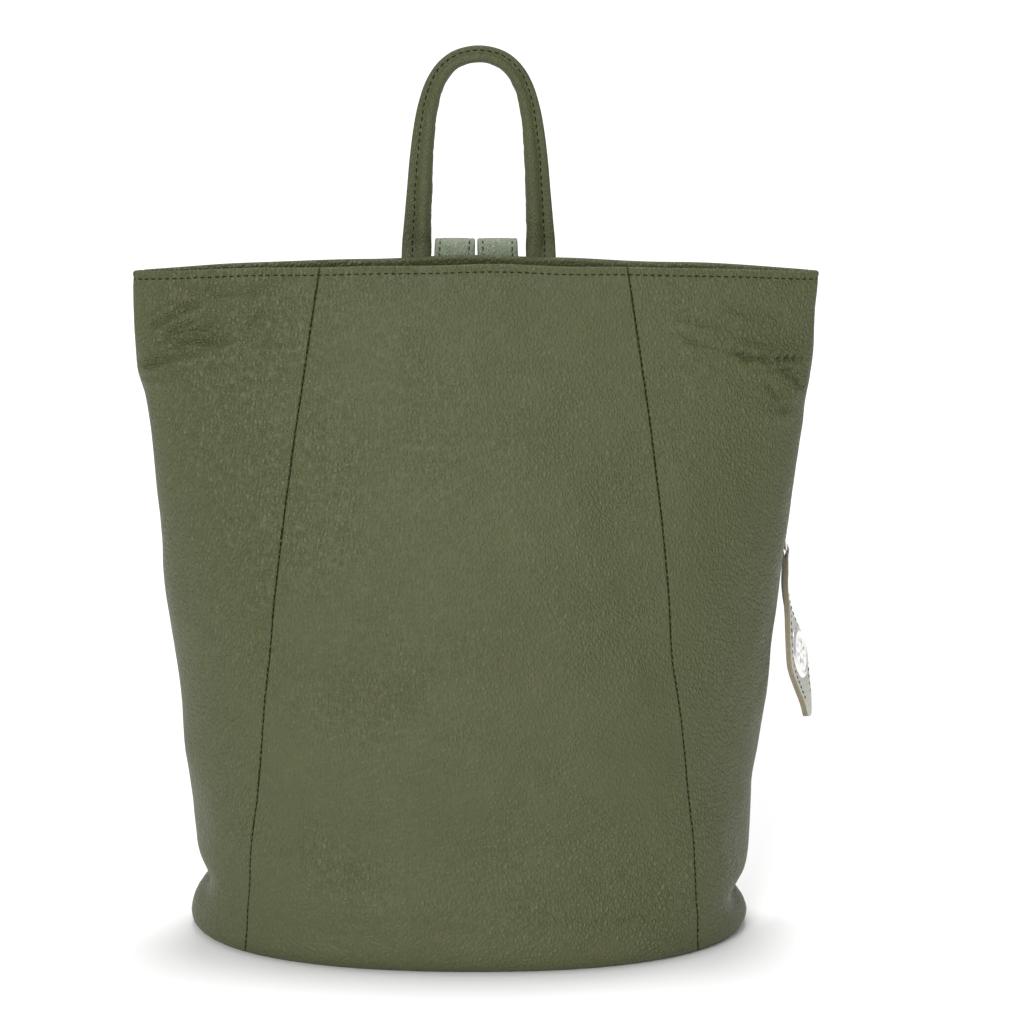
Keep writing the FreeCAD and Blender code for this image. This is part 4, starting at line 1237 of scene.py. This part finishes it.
def tag_point(s, t, y):
    """A point of the tag: s below its top, t across from -1 to 1, y out of its face."""
    x = t * tag_half_width(s)
    return (TAG_AT + TAG_ACROSS * x[..., None] + TAG_UP * (-TAG_TOP_DROP - s)[..., None]
            + TAG_OUT * (y + tag_curl(s, t))[..., None])


def make_tag():
    """The tag's two layers of leather, sewn together below the wire ring, with its metal disc."""
    s_rows = np.concatenate([np.linspace(-FOLD_REACH, 9, 16), np.linspace(10, 86, 56),
                             np.linspace(87, TAG_LENGTH, 9)])
    s, t = np.meshgrid(s_rows, np.linspace(-1, 1, 33), indexing="ij")
    wave = 0.12 * np.sin(s / 5.0 + 3 * t) * step(s, 12, 30)
    around = np.sqrt(np.clip(FOLD_REACH ** 2 - np.clip(s, 0.05 - FOLD_REACH, 0) ** 2, 0.1, None))
    face = np.where(s < 0, around, FOLD_REACH + (TAG_LAYER - FOLD_REACH) * step(s, 0, 5))
    edge = 0.35 * step(np.abs(t), 0.9, 1.0)
    for sign, layer, node in ((1, "tag_front_skin", "tag_front_leather"),
                              (-1, "tag_back_skin", "tag_back_leather")):
        outer = tag_point(s, t, sign * (face - edge) + wave)
        inner_face = np.where(s < 0, np.clip(around - 1.3, 0.3, None),
                              (FOLD_REACH - 1.3) * (1 - step(s, 0, 5)) + 0.04)
        inner = tag_point(s, t, sign * inner_face + wave)
        piece = skin_object(layer, outer, inner)
        dress(piece, LEATHER_TAG if sign > 0 else LEATHER_INNER, RAW_EDGE)
        edge_faces(piece, outer)
        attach(piece, "tag")
        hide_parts(node)
    s_line = np.linspace(22, 82, 120)
    for sign, name in ((1, "near"), (-1, "far")):
        t_line = sign * (1 - 2.6 / tag_half_width(s_line))
        line = tag_point(s_line, t_line, TAG_LAYER + 0 * s_line - 0.15)
        sew("tag_stitches_" + name, line, np.tile(TAG_OUT, (len(line), 1)), "tag")
    make_disc()


def make_disc():
    """A round metal plate with a raised border and a simple rosette, and the rivet's head above it."""
    radii = np.concatenate([np.linspace(0.2, 8.8, 24), [9.3, 9.8, 10.3, 10.7, 11.4, 12.2, 12.8, 13.2, 13.5]])
    turn = np.linspace(0, 2 * math.pi, 97)[:-1]
    centre, above, below = (tag_point(np.array(TAG_DISC_AT + d), np.array(0.0), np.array(TAG_LAYER))
                            for d in (0, -8, 8))
    far, near = (tag_point(np.array(TAG_DISC_AT), np.array(d), np.array(TAG_LAYER)) for d in (-0.6, 0.6))
    lean, across = unit(below - above), unit(near - far)
    out = unit(np.cross(across, lean))
    out = out * np.sign(out @ TAG_OUT)
    rings = []
    for r in radii:
        petal = 0.6 * bump_at(r - 5.8, 2.3) * (0.5 + 0.5 * np.cos(8 * turn))
        border = 0.6 * bump_at(r - 11.4, 0.9) - 0.5 * step(r, 12.6, 13.5)
        height = 1.1 + petal + border + 0.5 * bump_at(r, 1.6)
        rings.append(centre + r * (np.cos(turn)[:, None] * across + np.sin(turn)[:, None] * lean)
                     + out * (height + 0 * turn)[:, None])
    rings.append(centre + DISC_RADIUS * (np.cos(turn)[:, None] * across + np.sin(turn)[:, None] * lean)
                 - out * 0.1)
    piece = loft_object("tag_medallion", rings)
    dress(piece, DISC_METAL)
    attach(piece, "tag")
    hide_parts("tag_disc")
    head = tag_point(np.array(RIVET_AT), np.array(0.0), np.array(TAG_LAYER))
    rings = [head + r * (np.cos(turn)[:, None] * TAG_ACROSS + np.sin(turn)[:, None] * TAG_UP) + TAG_OUT * h
             for r, h in ((0.1, 0.6), (0.8, 0.57), (1.5, 0.48), (2.0, 0.3), (2.2, 0.1), (2.2, -1.0))]
    rivet = loft_object("tag_rivet_head", np.array(rings))
    dress(rivet, DISC_METAL)
    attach(rivet, "tag")
    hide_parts("tag_rivet")


make_tag()


# ---------------------------------------------------------------- inside and base
def full_round(z_rows, lift, columns=220):
    """A ring of points round the bag at each height, moved out by lift."""
    theta = np.linspace(0, 2 * math.pi, columns, endpoint=False)
    theta, z = np.meshgrid(theta, np.asarray(z_rows, float))
    return wall(theta, z, lift)


def make_inside():
    """Lining, slip pocket, base board and base leather."""
    heights = np.linspace(6.0, 317.5, 110)
    skin = full_round(heights, -2.5)
    inside = full_round(heights, -2.9)
    floor_out, floor_in = skin[0].copy(), inside[0].copy()
    floor_out[:, 2], floor_in[:, 2] = 5.2, 5.6
    rings = [floor_out * np.array([0.02, 0.02, 1]), floor_out * np.array([0.5, 0.5, 1]), floor_out * 1.0]
    rings += list(skin) + list(inside[::-1])
    rings += [floor_in, floor_in * np.array([0.5, 0.5, 1]), floor_in * np.array([0.02, 0.02, 1])]
    lining = loft_object("lining_skin", rings)
    dress(lining, LINING)
    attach(lining, "bag")
    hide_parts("lining")

    x, z = np.meshgrid(np.linspace(-75, 75, 90), np.linspace(130, 255, 70))
    bag_out = 0.25 * bump_at(z - 255, 3)
    outer = on_back(x, z, -3.1 - bag_out)
    inner = on_back(x, z, -4.0 - bag_out)
    pocket = skin_object("slip_pocket_cloth", outer, inner)
    dress(pocket, LINING)
    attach(pocket, "bag")
    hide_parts("slip_pocket")

    for name, low, high, material, slot, node in (
            ("base_leather", 0.15, 2.2, LEATHER_SHELL, "leather_base", "base_panel"),
            ("base_stiffener", 2.35, 4.8, BOARD, "board", "base_board")):
        edge = full_round([1.0], -3.2 if node == "base_panel" else -3.6, 160)[0]
        rings = []
        for z, scale in ((low, 0.01), (low, 0.6), (low, 1.0), (high, 1.0), (high, 0.6), (high, 0.01)):
            ring = edge * scale
            ring[:, 2] = z
            rings.append(ring)
        piece = loft_object(name, rings)
        dress(piece, material)
        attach(piece, "bag")
        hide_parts(node)


make_inside()


# ---------------------------------------------------------------- side zip
def block_corners(centre, along, across, out, size):
    """The corners of a small block with its upper face drawn in."""
    corners = []
    for high in (-1, 1):
        shrink = 0.72 if high > 0 else 1.0
        for a, b in ((-1, -1), (1, -1), (1, 1), (-1, 1)):
            corners.append(centre + along * a * size[0] * shrink + across * b * size[1] * shrink
                           + out * high * size[2])
    return corners


TAPE_DEPTH = 2.1
TAPE_THICK = 0.5
TOOTH_PITCH = 1.8
TOOTH_DEPTH = 1.15
TOOTH_HALF_SIZE = (0.72, 1.9, 0.65)
BLOCK_FACES = [(3, 2, 1, 0), (4, 5, 6, 7), (0, 1, 5, 4), (1, 2, 6, 5), (2, 3, 7, 6), (3, 0, 4, 7)]


def make_side_zip():
    """The side zip's cloth tapes and teeth, sunk between the two panels."""
    z = np.linspace(SIDE_ZIP_LOW_Z - 4, SIDE_ZIP_HIGH_Z + 4, 70)
    centre_line = wall(side_seam(z, 1), z)
    along = tangents(centre_line)
    out = wall_normal(side_seam(z, 1), z)
    across = unit(np.cross(out, along))
    points, faces = [], []
    for side in (-1, 1):
        grids = []
        for lift in (-TAPE_DEPTH, -TAPE_DEPTH - TAPE_THICK):
            offsets = side * np.linspace(0.9, 9.5, 6)
            bend = offsets ** 2 / 90.0
            grids.append(centre_line[:, None] + across[:, None] * offsets[None, :, None]
                         + out[:, None] * (lift - bend)[None, :, None])
        faces += sheet_faces(*grids[0].shape[:2], sum(len(p) for p in points))
        points += [g.reshape(-1, 3) for g in grids]
    tape = make_object("side_zip_cloth", np.concatenate(points), np.concatenate(faces))
    dress(tape, TAPE)
    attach(tape, "bag")
    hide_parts("side_zip_tapes")

    corners, faces = [], []
    for i, at in enumerate(np.arange(SIDE_ZIP_LOW_Z + 3, SIDE_ZIP_HIGH_Z - 16, TOOTH_PITCH)):
        place = wall(side_seam(np.array(at), 1), np.array(at), -TOOTH_DEPTH)
        k = int(np.argmin(np.abs(z - at)))
        side = 1 if i % 2 else -1
        start = len(corners)
        corners += block_corners(place + across[k] * side * 0.9, along[k], across[k], out[k], TOOTH_HALF_SIZE)
        faces += [tuple(start + c for c in face) for face in BLOCK_FACES]
    teeth = make_object("side_zip_teeth_row", corners, faces)
    flatten(teeth)
    dress(teeth, ZIP_METAL)
    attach(teeth, "bag")
    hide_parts("side_zip_teeth")


make_side_zip()


def make_side_slider():
    """The side zip's slider: a plate over the teeth, and a bridge round the ring that the tag turns on."""
    z = np.array(TAG_AT[2])
    base = wall(side_seam(z, 1), z)
    out = wall_normal(side_seam(z, 1), z)
    along = -np.array(joints["side_zip_slide"]["axis"], float)
    along = unit(along - out * (along @ out))
    across = unit(np.cross(out, along))
    reach = (TAG_AT - base) @ out
    middle = TAG_AT - out * reach
    plate = make_object("side_slider_plate", block_corners(middle + out * 1.15, along, across, out,
                                                           (5.4, 3.5, 0.5)), BLOCK_FACES)
    flatten(plate)
    line = smooth_path(np.array([middle + along * a + out * b for a, b in (
        (3.6, 0.5), (3.5, reach * 0.45), (2.3, reach * 0.85), (0.0, reach + 1.15), (-2.3, reach * 0.85),
        (-3.5, reach * 0.45), (-3.6, 0.5))]), 0.5)
    section = ((1, 0.4), (0.7, 1), (-0.7, 1), (-1, 0.4), (-1, -0.4), (-0.7, -1), (0.7, -1), (1, -0.4))
    rings = []
    for p, t in zip(line, tangents(line)):
        n = unit(np.cross(t, across))
        rings.append([p + across * x * 0.9 + n * y * 0.42 for x, y in section])
    for piece in (plate, loft_object("side_slider_bridge", rings)):
        dress(piece, ZIP_METAL)
        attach(piece, "side_slider")
        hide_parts("side_zip_slider")


make_side_slider()


def wire(name, corners, radius, body, node, material):
    """A closed loop of round wire through rounded corners."""
    path = []
    corners = np.asarray(corners, float)
    for i, corner in enumerate(corners):
        before, after = unit(corners[i - 1] - corner), unit(corners[(i + 1) % len(corners)] - corner)
        bend = 1.6 * radius
        for share in np.linspace(0, 1, 7):
            path.append(corner + before * bend * (1 - share) ** 2 + after * bend * share ** 2)
    path = even(np.array(path + path[:1]), 0.6)[:-1]
    along = unit(np.roll(path, -1, 0) - np.roll(path, 1, 0))
    flat = unit(np.cross(corners[1] - corners[0], corners[2] - corners[1]))
    side = unit(np.cross(along, flat))
    turn = np.linspace(0, 2 * math.pi, 16, endpoint=False)
    rings = path[:, None] + radius * (side[:, None] * np.cos(turn)[None, :, None]
                                      + flat * np.sin(turn)[None, :, None])
    piece = loft_object(name, rings, True)
    dress(piece, material)
    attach(piece, body)
    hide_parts(node)


RING_CORNERS = [(-3.7, 0.0), (3.7, 0.0), (3.7, TAG_TOP_DROP), (-3.7, TAG_TOP_DROP)]
wire("tag_wire_ring", [TAG_AT + TAG_ACROSS * x - TAG_UP * z for x, z in RING_CORNERS], 0.7, "tag", "tag_ring",
     ZIP_METAL)

# ---------------------------------------------------------------- pieces shown as they are
PLAIN_NODES = {
    LEATHER_INNER: ["front_gusset", "back_gusset", "zip_end_tabs"],
    TAPE: ["front_zip_tape", "back_zip_tape"],
    ZIP_METAL: ["front_zip_teeth", "back_zip_teeth", "top_zip_slider", "top_pull_link"],
    STRAP_LEATHER_PAINTED_LIGHT: ["top_pull_leather", "right_strap_tab", "left_strap_tab"],
    BUCKLE_METAL: ["right_buckle_frame", "left_buckle_frame", "right_buckle_prong", "left_buckle_prong",
                   "right_strap_ring", "left_strap_ring"],
}
for plain_material, plain_names in PLAIN_NODES.items():
    for plain_name in plain_names:
        dress(frame["nodes"][plain_name], plain_material)


# ---------------------------------------------------------------- room, light and camera
def make_floor():
    """A plain pale table top."""
    half = 40000.0
    floor = make_object("table_top", [(-half, -half, 0), (half, -half, 0), (half, half, 0), (-half, half, 0)],
                        [(0, 1, 2, 3)])
    n = Nodes("table_top")
    n.surface(Base_Color=(0.95, 0.95, 0.95, 1), Roughness=0.6)
    dress(floor, n.material)


def sun_light(name, side, lift, strength, spread):
    """A soft distant light. side is degrees from the front towards the right, lift is degrees up."""
    light = bpy.data.lights.new(name, "SUN")
    light.energy = strength
    light.angle = math.radians(spread)
    across, up = math.radians(side), math.radians(lift)
    towards = Vector((math.sin(across) * math.cos(up), -math.cos(across) * math.cos(up), math.sin(up)))
    lamp = bpy.data.objects.new(name, light)
    lamp.rotation_euler = (-towards).to_track_quat("-Z", "Y").to_euler()
    bpy.context.scene.collection.objects.link(lamp)


def make_light():
    """Even studio light: a pale room, one soft light from high behind and a key from the front left."""
    world = bpy.data.worlds.new("studio")
    bpy.context.scene.world = world
    world.use_nodes = True
    tree = world.node_tree
    place = tree.nodes.new("ShaderNodeTexCoord")
    split = tree.nodes.new("ShaderNodeSeparateXYZ")
    tree.links.new(place.outputs["Generated"], split.inputs[0])
    parts = []
    for top, start, end in ((1.0, 0.26, 0.76), (0.1, 0.8, 0.0)):
        part = tree.nodes.new("ShaderNodeMapRange")
        tree.links.new(split.outputs["Z"], part.inputs["Value"])
        for key, value in (("From Min", 0.0), ("From Max", top), ("To Min", start), ("To Max", end)):
            part.inputs[key].default_value = value
        parts.append(part)
    total = tree.nodes.new("ShaderNodeMath")
    for i, part in enumerate(parts):
        tree.links.new(part.outputs[0], total.inputs[i])
    back = tree.nodes["Background"]
    back.inputs["Color"].default_value = (1, 1, 1, 1)
    tree.links.new(total.outputs[0], back.inputs["Strength"])
    sun_light("high_light", 172, 78, 1.7, 16)
    sun_light("key_light", -20, 26, 1.85, 22)


def make_camera():
    """A long lens from the front, a little above the bag."""
    camera = bpy.data.cameras.new("camera")
    camera.lens = 103.43
    camera.sensor_width = 36
    camera.shift_x = 0.035
    camera.clip_end = 200
    view = bpy.data.objects.new("camera", camera)
    view.location = (0, -1.5, 0.54)
    view.rotation_euler = (math.radians(78.05), 0, 0)
    bpy.context.scene.collection.objects.link(view)
    bpy.context.scene.camera = view


make_floor()
make_light()
make_camera()
bpy.context.scene.view_settings.view_transform = "Standard"
